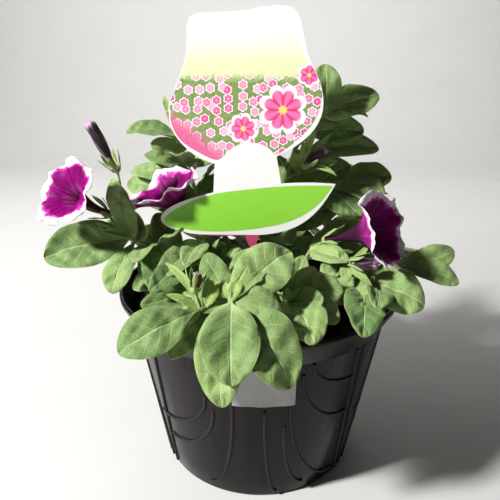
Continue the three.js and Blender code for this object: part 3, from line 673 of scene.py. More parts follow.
@dataclass(frozen=True)
class MouldedPolypropylene(Finish):
    """Black injection-moulded plastic: a glossy skin that ripples slightly, with soft upright brownish
    bands painted into its colour as a reflection of the room, and fine specks of dust."""

    name: str = "black_moulded_polypropylene"
    roughness: float = 0.3
    ior: float = 1.49
    bump: tuple[float, float] = (0.35, 0.35)
    sockets: tuple = (("Specular IOR Level", 0.2),)
    black: str = "#060606"
    reflection_band: str = "#1A1413"
    dust: str = "#3A3633"
    flow_mm: float = 17.0
    speck_mm: float = 1.6
    ripple_mm: float = 9.0

    def paint(self, add: Add, place: Socket) -> dict[str, Socket]:
        """Paints the painted reflection bands and the dust.

        Args:
            add: Adds a node to the material's tree.
            place: Where a point lies on the object, in metres.

        Returns:
            What feeds the shader's sockets, and the relief.
        """
        flow_and_reflection = add(NOISE, add(STRETCH, place, (1.0, 1.0, 0.12)), 1 / (self.flow_mm * MM), 3.0)
        speck = add(NOISE, place, 1 / (self.speck_mm * MM), 2.0, 0.7)
        # the brownish upright bands mixed in here are a painted reflection of the room
        body = add(MIX, add(SPAN, flow_and_reflection, 0.4, 0.65), self.black, self.reflection_band)
        return {
            "Base Color": add(MIX, add(SPAN, speck, 0.66, 0.8, 0.0, 0.6), body, self.dust),
            "Roughness": add(SPAN, flow_and_reflection, 0.35, 0.65, self.roughness - 0.12, self.roughness + 0.14),
            "Relief": add(NOISE, place, 1 / (self.ripple_mm * MM), 2.0)}


@dataclass(frozen=True)
class BeadHighlightPolypropylene(MouldedPolypropylene):
    """The same plastic on the raised lines: a lighter grey painted as highlights on the beads, and more matt.
    """

    name: str = "bead_highlight_polypropylene"
    roughness: float = 0.42
    # lighter than the pot's own black: painted highlight along the beads
    black: str = "#1B1A19"
    reflection_band: str = "#2B2927"


@dataclass(frozen=True)
class Mottled(Finish):
    """A finish of one colour that clouds softly into a second one."""

    first: str = "#FFFFFF"
    second: str = "#FFFFFF"
    cloud_mm: float = 10.0
    detail: float = 3.0
    grit: float = 0.5

    def paint(self, add: Add, place: Socket) -> dict[str, Socket]:
        """Paints the clouds. See Finish."""
        cloud = add(NOISE, place, 1 / (self.cloud_mm * MM), self.detail, self.grit)
        return {"Base Color": add(MIX, cloud, self.first, self.second), "Relief": cloud}


# moist peat and composted bark: nearly black, crumbly and matt
POTTING_SOIL = Mottled("moist_potting_soil", 0.92, 1.45, (1.0, 1.5), (("Specular IOR Level", 0.12),),
                       "#17110C", "#3A2B1F", 3.0, 5.0, 0.7)
# short glandular hairs: colourless, so they glint pale
LEAF_HAIR = Mottled("pale_leaf_hair", 0.4, 1.45, (0.0, 0.0), (), "#D5DEBE", "#AFC08C", 8.0, 2.0)
# glossy lime printing ink with the print's faint mottle
BANNER_INK = Mottled("lime_printing_ink", 0.33, 1.45, (0.0, 0.0), (), "#86CF38", "#93D545", 30.0, 4.0)
# coated white label paper, slightly grey and creased where it was rubbed down
LABEL_PAPER = Mottled("coated_label_paper", 0.55, 1.45, (0.3, 0.3), (), "#A9A8A6", "#979593")
# seamless pale background paper: matt, so it throws soft light back up
STUDIO_PAPER = Mottled("studio_paper", 0.8, 1.45, (0.0, 0.0), (), "#D6D5D2", "#CFCECB", 120.0, 2.0)


@dataclass(frozen=True)
class CardPlastic(Finish):
    """White polypropylene sheet for a plant tag: semi-gloss, with its stake printed pink."""

    name: str = "white_tag_plastic"
    roughness: float = 0.38
    stake_top_mm: float = 219.0

    def paint(self, add: Add, place: Socket) -> dict[str, Socket]:
        """Paints faint smudges and the stake's pink.

        Args:
            add: Adds a node to the material's tree.
            place: Where a point lies on the object, in metres.

        Returns:
            What feeds the shader's sockets, and the relief.
        """
        height = add(SPLIT, place)[2]
        card = add(MIX, add(NOISE, place, 1 / (14 * MM), 3.0), "#F4F3F1", "#E7E6E3")
        return {"Base Color": add(MIX, add(BELOW, height, self.stake_top_mm * MM), card, "#B5456F")}


@dataclass(frozen=True)
class PictureInk(Finish):
    """A four-colour print of a generic flower bed: round rosettes over a green and cream ground."""

    name: str = "flower_bed_print"
    roughness: float = 0.36
    # each rosette: x, z, radius in millimetres, petals
    rosettes: tuple = ((17.0, 318.0, 19.0, 8), (-13.0, 304.0, 12.0, 7), (36.0, 343.0, 9.0, 6))
    cell_mm: float = 8.5

    def paint(self, add: Add, place: Socket) -> dict[str, Socket]:
        """Prints the ground, a field of small blossoms and the large rosettes.

        Args:
            add: Adds a node to the material's tree.
            place: Where a point lies on the object, in metres.

        Returns:
            What feeds the shader's sockets, and the relief.
        """
        x, _, z = add(SPLIT, place)
        page = add(SCALE, add(JOIN_XYZ, x, z), 1 / MM)
        wide, high, _ = add(SPLIT, page)
        # ground: leafy green below, cream and pale lime towards the top, rose in the lower left
        leafy = add(NOISE, page, 0.4, 4.0, 0.7)
        cream = add(MIX, add(SMOOTH, high, 345.0, 378.0), "#E3ECB4", "#F3F4EC")
        sky = add(SMOOTH, add(TIMES_PLUS, leafy, 12.0, high), 343.0, 352.0)
        corner = add(SMOOTH, add(TIMES_PLUS, wide, 0.8, high), 252.0, 268.0, 1.0, 0.0)
        cells = add(CELLS, page, 1 / self.cell_mm, 0.75)
        tint = add(MIX, add(SPLIT, cells["Color"])[0], "#E24C9A", "#F6B8D6")
        picture = add(MIX, leafy, "#3F5A2C", "#A9BE72")
        picture = self._blossom(add, page, picture, (cells["Position"], 3.9, 6), tint, "#FBEFF6")
        picture = add(MIX, corner, picture, add(MIX, leafy, "#D2447F", "#E77FA8"))
        picture = add(MIX, sky, picture, cream)
        for x, z, radius, count in self.rosettes:
            picture = self._blossom(add, page, picture, ((x, z, 0.0), radius, count), None, "#FDF6FA")
        return {"Base Color": picture}

    @staticmethod
    def _blossom(add: Add, page: Socket, ground: Socket, flower: tuple, tint: Socket | None,
                 edge: str) -> Socket:
        """Prints a round flower of scalloped petals over the ground.

        Args:
            add: Adds a node to the material's tree.
            page: The place on the print in millimetres.
            ground: The colour so far.
            flower: Its centre, its petals' length in millimetres, and how many petals.
            tint: The petals' colour. Where it is None they are shaded along their rays.
            edge: The colour of the petals' rims.

        Returns:
            The new colour.
        """
        centre, radius, count = flower
        away = add(AWAY, page, centre)
        x, z, _ = add(SPLIT, away)
        rays = add(SIZE, add(SINE, add(TIMES, add(ARCTAN2, z, x), count / 2)))
        reach = add(TIMES_PLUS, add(POWER, rays, 0.5), radius * 0.32, radius * 0.68)
        share = add(OVER, add(LENGTH, away), reach)
        tint = tint or add(MIX, rays, "#D81E63", "#F27BB4")
        petal = add(MIX, add(SMOOTH, share, 0.72, 0.84), tint, edge)
        petal = add(MIX, add(SMOOTH, share, 0.14, 0.22, 1.0, 0.0), petal, "#E8D774")
        return add(MIX, add(SMOOTH, share, 0.96, 1.02, 1.0, 0.0), ground, petal)


# ---- leaves and stems


class LeafShape(Enum):
    """The leaves' outlines: where they are widest along their length, how full their sides are
    (less is fuller), how long the narrow stalk end is, and each half's fold in degrees."""

    OVAL = (0.54, 0.52, 0.16, 14)
    SPOON = (0.64, 0.52, 0.45, 12)
    NARROW = (0.55, 0.75, 0.1, 24)

    def half_width(self, along: Array) -> Array:
        """Gives the half width at places along the leaf, as a share of the greatest.

        Args:
            along: The places, 0 at the foot and 1 at the tip.

        Returns:
            The share at each place.
        """
        peak, fullness, waist, _ = self.value
        body = np.abs(np.sin(math.pi * along ** (math.log(0.5) / math.log(peak)))) ** fullness
        return body * smoothstep(along, -0.3 * waist, waist)


OVAL, SPOON, NARROW = LeafShape
LEAF_GRIDS = ((30.0, 42, 25), (18.0, 28, 17), (8.0, 16, 9), (0.0, 12, 5))   # from a width: rows, columns
STALK_HALF_WIDTH = 1.15
STALK_THICKNESS, BLADE_THICKNESS = 2.0, 0.45
YOUNG_WIDTH = 14.0              # leaves narrower than this are young growth


@dataclass(frozen=True)
class Leaf:
    """One leaf from where it leaves its stem to its tip."""

    foot: Array
    tip: Array
    width: float
    facing: Array
    shape: LeafShape
    arch: float
    seed: int

    def add_to(self, mesh: QuadMesh) -> None:
        """Adds the leaf as a thin closed sheet.

        Args:
            mesh: The mesh that collects the shoot's leaves.
        """
        draw = np.random.default_rng(self.seed).uniform
        length = float(np.linalg.norm(self.tip - self.foot))
        line = (self.tip - self.foot) / length
        up = unit(self.facing - (self.facing @ line) * line)
        rows, columns = next(grid[1:] for grid in LEAF_GRIDS if self.width >= grid[0])
        across, along = np.meshgrid(np.linspace(-1, 1, columns), np.sin(np.linspace(0, ROUND / 4, rows)))
        off = np.abs(across)
        half = 0.5 * self.width * self.shape.half_width(along)
        half = np.maximum(half, min(STALK_HALF_WIDTH, 0.25 * self.width) * (1 - smoothstep(along, 0.3, 0.7)))
        grows = smoothstep(along, 0.05, 0.4)
        # the blade twists a little, sways sideways, arches, and droops at its tip
        twist = (math.radians(draw(-9, 9)) * (along - 0.3))[..., None]
        side = np.cross(line, up)
        across_way = np.cos(twist) * side + np.sin(twist) * up
        up_way = np.cos(twist) * up - np.sin(twist) * side
        belly = 4 * length * along * (1 - along)
        sway = draw(-0.07, 0.07) * belly
        height = self.arch * belly - draw(0.0, 0.07) * length * (along ** 5 - along)
        # each half folds up from the midrib, and the margin waves
        fold = math.radians(self.shape.value[3] + draw(-4, 6))
        height += (np.sqrt(across ** 2 + 0.012) - 0.11) * half * math.sin(fold)
        waves = draw(0.05, 0.12)
        phase = np.where(across < 0, draw(0, 6.3), draw(0, 6.3))
        height += waves * np.sin(ROUND * draw(1.4, 2.4) * along + phase) * across ** 2 * half * grows
        # the blade puckers up between the sunk side veins, bulges unevenly and curls at its edge
        vein = 7.0 * (along - 0.2 * off ** 1.25) + np.where(across > 0, 0.5, 0.0)
        quilt = np.abs(np.sin(math.pi * vein)) * smoothstep(off, 0.0, 0.3) * (1 - smoothstep(off, 0.7, 1.0))
        height += quilt * grows * 0.016 * self.width
        for reach, depth in ((0.55, 0.022), (0.34, 0.016), (0.22, 0.01)):
            heading, start = draw(0, 6.3, 2)
            run = across * half * math.cos(heading) + along * length * math.sin(heading)
            bulge = depth * self.width * np.sin(ROUND * run / (reach * self.width) + start)
            height += bulge * grows * (1 - 0.6 * across ** 4)
        height -= 0.1 * half * across ** 6
        middle = (self.foot + along[..., None] * length * line + sway[..., None] * side
                  + (across * half * math.cos(fold))[..., None] * across_way + height[..., None] * up_way)
        thick = STALK_THICKNESS + (BLADE_THICKNESS - STALK_THICKNESS) * smoothstep(along, 0.0, 0.22)
        thick = np.minimum(thick, 0.35 * self.width) * (1 - 0.5 * across ** 4)
        offset = 0.5 * thick[..., None] * up_way
        tone = draw(1.0, 1.5) if self.width < YOUNG_WIDTH else draw(0.0, 1.0)
        mesh.sheet(middle + offset, middle - offset, np.stack([(across + 1) / 2, along], -1), tone)


@dataclass(frozen=True)
class Ruled:
    """Leaves set up a stem by rule, each a golden-angle turn after the one below it."""

    count: int                          # places that the rule has
    first: float                        # the lowest and the highest place on the stem
    last: float
    lengths: tuple[float, float]        # the lowest and the highest leaf's
    width: float                        # a leaf's, as a share of its length
    start: float                        # the lowest leaf's turn, in degrees
    rise: tuple[float, float]           # how steeply the lowest and the highest leaf climb
    without: tuple[int, ...] = ()       # places left empty, where a leaf would meet a neighbour

    LOWEST_TIP = 171.0

    def leaves(self, curve: StemCurve, seed: int) -> list[Leaf]:
        """Gives the leaves on a stem.

        Args:
            curve: The stem's line.
            seed: The first leaf's seed.

        Returns:
            The leaves from the lowest up.
        """
        found = []
        for i in sorted(set(range(self.count)) - set(self.without)):
            along = i / (self.count - 1)
            foot, stemward = curve.at(self.first + (self.last - self.first) * along)
            turn = math.radians(self.start + i * GOLDEN_ANGLE)
            outward = np.array([math.cos(turn), math.sin(turn), 0.0])
            outward = unit(outward - (outward @ stemward) * stemward)
            reach, climb = (low + (high - low) * along for low, high in (self.lengths, self.rise))
            tip = foot + reach * unit(outward + climb * stemward)
            tip[2] = max(tip[2], self.LOWEST_TIP)
            facing = np.array([0.0, 0.0, 1.0]) + 0.6 * stemward + 0.25 * outward
            found.append(Leaf(foot, tip, reach * self.width, facing, OVAL, 0.1, seed + i))
        return found


@dataclass(frozen=True)
class Stem:
    """A stem along its path with the leaves set on it one by one and by rule.

    Each of `rows` is a leaf: where it leaves the stem, its tip, its width, how far its face leans
    to the front and to the right, its outline, and its arch.
    """

    path: tuple
    radius: tuple[float, float]         # at the foot and at the tip
    rows: tuple = ()
    ruled: Ruled | None = None

    ROOT_DEPTHS = (118.0, 153.0)
    ROOTED_BELOW = 165.0
    SIDES = 10

    def curve(self) -> StemCurve:
        """Gives the stem's line, with its foot down in the soil where it starts there.

        Returns:
            The line.
        """
        x, y, z = self.path[0]
        root = [(x, y, depth) for depth in self.ROOT_DEPTHS] if z <= self.ROOTED_BELOW else []
        return StemCurve([*root, *self.path])

    def leaves(self, seed: int) -> list[Leaf]:
        """Gives all the stem's leaves.

        Args:
            seed: The first leaf's seed.

        Returns:
            The leaves set one by one, then those set by rule.
        """
        curve, found = self.curve(), []
        for number, (at, tip, width, (front, right), shape, arch) in enumerate(self.rows, seed + 50):
            lean, roll = math.radians(front), math.radians(right)
            facing = np.array([math.sin(roll), -math.sin(lean), math.cos(lean) * math.cos(roll)])
            found.append(Leaf(curve.at(at)[0], np.array(tip, float), width, facing, shape, arch, number))
        return found + (self.ruled.leaves(curve, seed) if self.ruled else [])

    def add_to(self, mesh: QuadMesh) -> None:
        """Adds the stem as a tapering tube with a knuckle where each leaf leaves it.

        Args:
            mesh: The mesh that collects the shoot's stems.
        """
        curve = self.curve()
        shares = np.linspace(0, 1, max(10, int(curve.length / 3.5)))
        knuckles = [row[0] for row in self.rows]
        if self.ruled:
            knuckles += list(np.linspace(self.ruled.first, self.ruled.last, self.ruled.count))
        normal = np.array([1.0, 0.0, 0.0])
        rings = []
        for share in shares:
            centre, way = curve.at(share)
            normal = unit(normal - (normal @ way) * way)
            near = min((abs(share - knuckle) * curve.length for knuckle in knuckles), default=99.0)
            radius = self.radius[0] + (self.radius[1] - self.radius[0]) * share
            radius *= 1 + 0.18 * math.exp(-(near / 3) ** 2)
            rings.append(centre + radius * spread(circle(self.SIDES), normal, np.cross(way, normal)))
        first, last = (np.repeat(rings[end].mean(0, keepdims=True), self.SIDES, 0) for end in (0, -1))
        mesh.skin(np.stack([first, *rings, last]), np.concatenate([[0.0], shares, [1.0]]) * curve.length / 10)


@dataclass(frozen=True)
class Calyx:
    """The green cup round a flower's foot and its five narrow sepals."""

    foot: Array
    axis: Array
    scale: float
    seed: int

    SEPALS = 5
    LENGTH, SPLAY, WIDTH = 16.0, 7.0, 4.8
    RADIUS, HEIGHT = 3.8, 2.5
    # the cup's section: radii and heights
    CUP = ((0.0, -2.5), (2.28, -1.75), (3.61, 0.0), (3.8, 2.5), (3.1, 2.5), (2.9, -0.3), (0.0, -0.3))

    def sepals(self) -> list[Leaf]:
        """Sets the sepals round the cup.

        Returns:
            The sepals, as small leaves whose faces look inwards.
        """
        ways = spread_round(self.axis, math.pi * (2 * np.arange(self.SEPALS) + 1.5) / self.SEPALS)
        return [Leaf(self.foot + out * self.RADIUS * 0.8,
                     (self.foot + out * (self.RADIUS + self.SPLAY * self.scale)
                      + self.axis * (self.HEIGHT + self.LENGTH * self.scale)),
                     self.WIDTH * self.scale, self.axis * 0.3 - out, NARROW, -0.05, self.seed + i)
                for i, out in enumerate(ways)]

    def add_cup(self, mesh: QuadMesh) -> None:
        """Adds the cup, open to the flower's tube, to the mesh of the stems."""
        around = spread_round(self.axis, circle(15))
        mesh.skin(np.stack([self.foot + radius * around + height * self.axis for radius, height in self.CUP]))


@dataclass(frozen=True)
class LeafyShoot:
    """One rooted shoot: its stems with their leaves and hairs, and its flowers' calyces."""

    name: str
    stems: tuple[Stem, ...]
    calyces: tuple[Calyx, ...]
    seed: int

    HAIR_LENGTH = 1.3
    HAIR_RADIUS = 0.06          # finer hairs wouldn't show
    HAIRS_PER_MM2 = 0.2

    @staticmethod
    def _stand(add: Add, given: dict[str, Socket]) -> Socket:
        """Adds the nodes of short hairs that stand on the stems.

        Args:
            add: Adds a node to the tree.
            given: The named inputs.

        Returns:
            The hairs.
        """
        spots = add(SCATTER, given["Source"], given["Density"], given["Seed"])
        way = add(TURN, spots["Rotation"], add(RANDOM_VECTOR, (-0.5, -0.5, -3.1), (0.5, 0.5, 3.1), 3))
        hair = add(SPIKE, 3, 0.0, given["Radius"], given["Length"])
        return add(REALIZE, add(SET_AT, spots["Points"], hair, way, add(RANDOM_SHARE, 0.5, 1.3, 5)))

    def build(self) -> None:
        """Builds, dresses and settles the shoot's leaves, stems and hairs."""
        blades, stalks = QuadMesh(), QuadMesh()
        leaves = []
        for number, one in enumerate(self.stems):
            one.add_to(stalks)
            leaves += one.leaves(self.seed + 200 * number)
        for calyx in self.calyces:
            calyx.add_cup(stalks)
            leaves += calyx.sepals()
        for blade in leaves:
            blade.add_to(blades)
        node = f"leafy_stem_{self.name}"
        settle(blades.build(f"{self.name}_leaves", 60), "foliage", node, DownyLeaf())
        stems = stalks.build(f"{self.name}_stems", 50)
        settle(stems, "foliage", node, GreenStem())
        hairs = grow(stems, f"{self.name}_stem_hairs", LEAF_HAIR, {
            "Length": self.HAIR_LENGTH * MM, "Radius": self.HAIR_RADIUS * MM,
            "Density": self.HAIRS_PER_MM2 / MM ** 2, "Seed": self.seed}, self._stand)
        settle(hairs, "foliage", node)


# ---- flowers


@dataclass(frozen=True)
class Flower:
    """What a bloom and a bud share: where it starts, where it ends and how thick it is."""

    name: str
    foot: tuple
    end: tuple
    radius: float

    def axis(self) -> Array:
        """Gives the direction that the flower points."""
        return unit(np.subtract(self.end, self.foot).astype(float))

    def length(self) -> float:
        """Gives the distance from its foot to its end."""
        return float(np.linalg.norm(np.subtract(self.end, self.foot)))

    def ring(self, turns: Array, radius: Array, height: Array) -> Array:
        """Gives a ring of points round the axis at radii and heights that change with the turn."""
        return (np.array(self.foot, float) + height[:, None] * self.axis()
                + radius[:, None] * spread_round(self.axis(), turns))


@dataclass(frozen=True)
class Bloom(Flower):
    """A funnel-shaped petunia flower of five fused petals; its end is the centre of its face."""

    flat: float         # 0 a cone, 1 a disc
    wave: float         # how deep its edge waves
    bends: tuple        # how far each of the five petals bends forwards
    seed: int           # the ruffles' seed

    COLUMNS, RINGS = 200, 38
    NOTCH = 0.12

    def build(self) -> None:
        """Builds, dresses and settles the flower."""
        tube, face = self.length(), self.radius
        phases = np.random.default_rng(self.seed).uniform(0, ROUND, 6)
        outer = ((0, 0), (2.1, 0), (2.7, 0.35), (5.2, 0.62), (9.5, 0.8), (face * 0.62, 0.93), (face, 1))
        inner = ((face * 0.995, 1.0), (face * 0.62, 0.945), (9.0, 0.82), (4.7, 0.645), (2.2, 0.4), (0, 0.32))
        turns = circle(self.COLUMNS)
        bend = np.take(self.bends, (turns // math.radians(72)).astype(int)) * np.sin(2.5 * turns) ** 2
        notch = np.abs(np.cos(2.5 * turns))
        drop = tube * 0.42 * (1 - self.flat)
        rings, levels, sides = [], [], []
        for points, side, raise_by in ((outer, Side.LOWER, 0.0), (inner, Side.UPPER, 0.4)):
            line = StemCurve([(r, h * tube, 0.0) for r, h in points])
            for share in np.linspace(0, 1, self.RINGS):
                (r, level, _), _ = line.at(share)
                r = max(r, 0.0)
                out = min(1.0, r / face)
                lobe = 1 - self.NOTCH * out ** 2 * notch ** 5
                lobe += out ** 4 * (0.016 * np.sin(12 * turns + phases[0])
                                    + 0.007 * np.sin(27 * turns + phases[1]))
                ruffle = out ** 3 * self.wave * (np.sin(5 * turns) + 0.5 * np.sin(10 * turns + 1))
                frill = out ** 5 * (0.7 * np.sin(11 * turns + phases[2])
                                    + 0.45 * np.sin(19 * turns + phases[3])
                                    + 0.22 * np.sin(34 * turns + phases[4]))
                # the very edge rolls back here and there
                roll = -1.3 * out ** 12 * (1 + np.sin(7 * turns + phases[5]))
                # a crease down the middle of each petal and a fold where two petals meet
                crease = -3.6 * out * (1 - out) * np.exp(-(np.cos(2.5 * turns) / 0.16) ** 2)
                seam = 1.1 * out * (1 - 0.4 * out) * notch ** 8
                height = (level - drop * (1 - out) * min(1.0, 2 * level / tube) + bend * out ** 2
                          + ruffle + frill + roll + crease + seam + raise_by)
                rings.append(self.ring(turns, r * lobe, height))
                levels.append(out)
                sides.append(side)
        mesh = QuadMesh()
        mesh.skin(np.stack(rings), levels, sides)
        settle(mesh.build(f"{self.name}_petals", 80), "petal", self.name, PicoteePetal())


@dataclass(frozen=True)
class Bud(Flower):
    """A closed bud: its petals furled into a slim ribbed stick with a crumpled tip."""

    seed: int

    COLUMNS, RINGS = 40, 34

    def build(self) -> None:
        """Builds, dresses and settles the bud."""
        length, thick = self.length(), self.radius
        phase = np.random.default_rng(self.seed).uniform(0, 6.3, 3)
        points = ((0, 0), (1.7, 0), (2, 0.24), (thick * 0.9, 0.4), (thick, 0.8), (thick * 0.8, 0.97), (0, 1))
        line = StemCurve([(r, h * length, 0.0) for r, h in points])
        turns = circle(self.COLUMNS)
        rings, levels = [], []
        for share in np.linspace(0, 1, self.RINGS):
            (r, level, _), _ = line.at(share)
            h = level / length
            twisted = 5 * (turns + 1.6 * h)
            ribs = 1 + smoothstep(h, 0.2, 0.5) * (0.09 * np.cos(twisted) + 0.05 * np.cos(2 * twisted))
            crumple = smoothstep(h, 0.75, 1.0) * 0.16 * np.sin(7 * turns + phase[0] + 9 * h)
            nod = smoothstep(h, 0.85, 1.0) * 0.5 * np.sin(3 * turns + phase[1])
            rings.append(self.ring(turns, max(r, 0.0) * (ribs + crumple), level + nod))
            levels.append(h)
        for end in (0, -1):
            rings[end][:] = rings[end].mean(0)
        mesh = QuadMesh()
        mesh.skin(np.stack(rings), levels)
        settle(mesh.build(f"{self.name}_petals", 60), "bud_petal", self.name, FurledPetal())


# ---- the pot and what is in it


@dataclass(frozen=True)
class Pot:
    """The moulded hanging-basket pot: tapered, with a flared collar and a pattern of raised swags."""

    height: float = 165.0
    rim_radius: float = 125.0
    collar_height: float = 23.0
    collar_foot_radius: float = 114.0
    base_radius: float = 87.5
    wall: float = 2.0
    floor: float = 2.6
    drain_radius: float = 5.0
    drain_ring: float = 58.0
    drain_count: int = 6
    panels: int = 3             # the pattern repeats so often round the pot
    bead_radius: float = 1.35
    bead_spacing: float = 2.3
    # where each raised line starts and ends, in degrees from the panel's middle and in height;
    # a swag leaves steeply and ends level, a panel's border is straight
    swags: tuple = (
        ((22, 139), (46, 113)), ((18, 130), (47, 76)), ((14, 102), (46, 10)), ((12, 80), (25, 12)),
        ((3, 97), (10, 6)), ((-11, 102), (-26, 8)), ((-20, 92), (-52, 41)), ((-23, 104), (-58, 62)))
    borders: tuple = (((44, 139), (52, 4)), ((49, 139), (57, 4)), ((-50, 139), (-57, 4)))

    def wall_radius(self, z: float) -> float:
        """Gives the wall's outer radius at a height."""
        top = self.collar_foot_radius - 1.6
        return self.base_radius + (top - self.base_radius) * z / (self.height - self.collar_height)

    def _shell(self) -> Piece:
        """Turns the pot's section round its axis.

        Returns:
            The shell before its holes are bored.
        """
        foot, top, rim = self.height - self.collar_height, self.height, self.rim_radius
        base, collar, wall = self.base_radius, self.collar_foot_radius, self.wall
        mesh = QuadMesh()
        mesh.skin(turned([
            (0, 0.8), (base - 9, 0.8), (base - 7, 0.0), (base - 2.2, 0.0), (base - 0.9, 0.3),
            (base - 0.2, 1.0),
            *((self.wall_radius(z), z) for z in (2.4, 20, 45, 70, 95, 120, 138, foot - 1.5)),
            (collar - 0.5, foot - 0.4), (collar, foot + 0.4), (rim - 3.6, top - 9), (rim - 1.2, top - 5.2),
            (rim - 0.3, top - 4.2), (rim, top - 2.6), (rim - 0.1, top - 1.1), (rim - 0.9, top - 0.2),
            (rim - 1.8, top), (rim - 2.7, top - 0.4), (rim - 3, top - 1.6), (rim - 4.2, top - 8),
            (collar - wall, foot + 0.5), (self.wall_radius(foot - 3) - wall, foot - 3),
            (base - wall + 0.4, self.floor + 2), (base - wall - 2, self.floor), (0, self.floor),
        ], circle(144)))
        return mesh.build("pot_blank", 35)

    def _paths(self) -> Piece:
        """Draws the raised lines' centre lines on the wall.

        Returns:
            The lines as bare edges.
        """
        share = np.linspace(0, 1, 25)
        steep, level = 1 - np.cos(ROUND / 4 * share), np.sin(ROUND / 4 * share)
        lines = [(line, steep, level) for line in self.swags]
        lines += [(line, share, share) for line in self.borders]
        points, edges = [], []
        for panel in range(self.panels):
            middle = -90 + 360 / self.panels * panel
            for ((turn0, z0), (turn1, z1)), sideways, upwards in lines:
                angle = np.radians(middle + turn0 + (turn1 - turn0) * sideways)
                z = z0 + (z1 - z0) * upwards
                radius = self.wall_radius(z) + 0.1
                edges += [(i, i + 1) for i in range(len(points), len(points) + len(share) - 1)]
                points += list(np.stack([radius * np.cos(angle), radius * np.sin(angle), z], -1) * MM)
        return link("swag_paths", raw_mesh("swag_paths", points, [], edges))

    @staticmethod
    def _drill(add: Add, given: dict[str, Socket]) -> Socket:
        """Adds the nodes that bore the drain holes.

        Args:
            add: Adds a node to the tree.
            given: The named inputs.

        Returns:
            The bored shell.
        """
        centres = add(RING, given["Count"], given["Ring Radius"])
        drills = add(REALIZE, add(SET_AT, centres, add(ROD, 24, given["Hole Radius"], 24 * MM)))
        return add(CUT, given["Source"], drills)

    @staticmethod
    def _bead(add: Add, given: dict[str, Socket]) -> Socket:
        """Adds the nodes that run a raised beaded line along each path.

        Args:
            add: Adds a node to the tree.
            given: The named inputs.

        Returns:
            The raised lines.
        """
        curves = add(TO_CURVE, given["Source"])
        cord = add(SWEEP, curves, add(CURVE_RING, 8, given["Radius"]), True)
        bead = add(BALL, add(TIMES, given["Radius"], 1.12), 2)
        beads = add(REALIZE, add(SET_AT, add(RESAMPLE, curves, given["Spacing"]), bead))
        return add(SHADE_SMOOTH, add(JOIN, cord, beads))

    def build(self) -> None:
        """Builds, dresses and settles the pot."""
        blank, paths = self._shell(), self._paths()
        shell = grow(blank, "pot_shell", MouldedPolypropylene(), {
            "Hole Radius": self.drain_radius * MM, "Ring Radius": self.drain_ring * MM,
            "Count": self.drain_count}, self._drill)
        shell.data.set_sharp_from_angle(angle=math.radians(35))
        swags = grow(paths, "pot_swags", BeadHighlightPolypropylene(), {
            "Radius": self.bead_radius * MM, "Spacing": self.bead_spacing * MM}, self._bead)
        for guide in (blank, paths):
            bpy.data.objects.remove(guide)
        for piece in (shell, swags):
            settle(piece, "pot_plastic", "pot")


@dataclass(frozen=True)
class Soil:
    """The potting soil, heaped slightly, with loose crumbs of bark on top."""

    pot: Pot
    top: float = 151.0
    crown: float = 3.0
    crumb_radius: float = 1.3
    crumbs_per_mm2: float = 0.035
    seed: int = 11

    @staticmethod
    def _crumble(add: Add, given: dict[str, Socket]) -> Socket:
        """Adds the nodes that strew the crumbs.

        Args:
            add: Adds a node to the tree.
            given: The named inputs.

        Returns:
            The crumbs.
        """
        upper = add(HIGHER, add(SPLIT, add(POSITION))[2], given["Lowest"])
        spots = add(SCATTER, given["Source"], given["Density"], given["Seed"], upper)
        size = add(RANDOM_VECTOR, (0.4, 0.4, 0.3), (1.8, 1.3, 0.9), 2)
        turn = add(RANDOM_VECTOR, (-0.6, -0.6, 0.0), (0.6, 0.6, 6.2), 4)
        return add(REALIZE, add(SET_AT, spots["Points"], add(BALL, given["Radius"], 1), turn, size))

    def build(self) -> None:
        """Builds, dresses and settles the soil."""
        gap = self.pot.wall + 0.8
        low, foot = self.pot.floor + 0.3, self.pot.height - self.pot.collar_height - 3
        brim = self.pot.wall_radius(foot) - gap + 1
        sides = [(0.0, low), (self.pot.wall_radius(low) - gap - 1, low), (brim - 1, foot),
                 (brim, self.top - 2)]
        heap = [(brim * s, self.top - 2 + (self.crown + 2) * (1 - s ** 2) ** 0.8)
                for s in np.linspace(0.975, 0, 34)]
        rings = turned(sides + heap, circle(120))
        rng = np.random.default_rng(self.seed)
        loose = rings[len(sides):-1]
        bumps = np.zeros(loose.shape[:2])
        for _ in range(26):
            way, phase = rng.normal(0, 0.35, 2), rng.uniform(0, 6.3)
            bumps += 0.22 * np.sin(loose[..., 0] * way[0] + loose[..., 1] * way[1] + phase)
        loose[..., 2] += np.clip(bumps, -1.6, 1.6)
        mesh = QuadMesh()
        mesh.skin(rings)
        surface = mesh.build("soil_heap", 40)
        crumbs = grow(surface, "soil_crumbs", POTTING_SOIL, {
            "Radius": self.crumb_radius * MM, "Density": self.crumbs_per_mm2 / MM ** 2,
            "Lowest": (self.top - 3) * MM, "Seed": self.seed}, self._crumble)
        settle(surface, "potting_soil", "soil", POTTING_SOIL)
        settle(crumbs, "potting_soil", "soil")


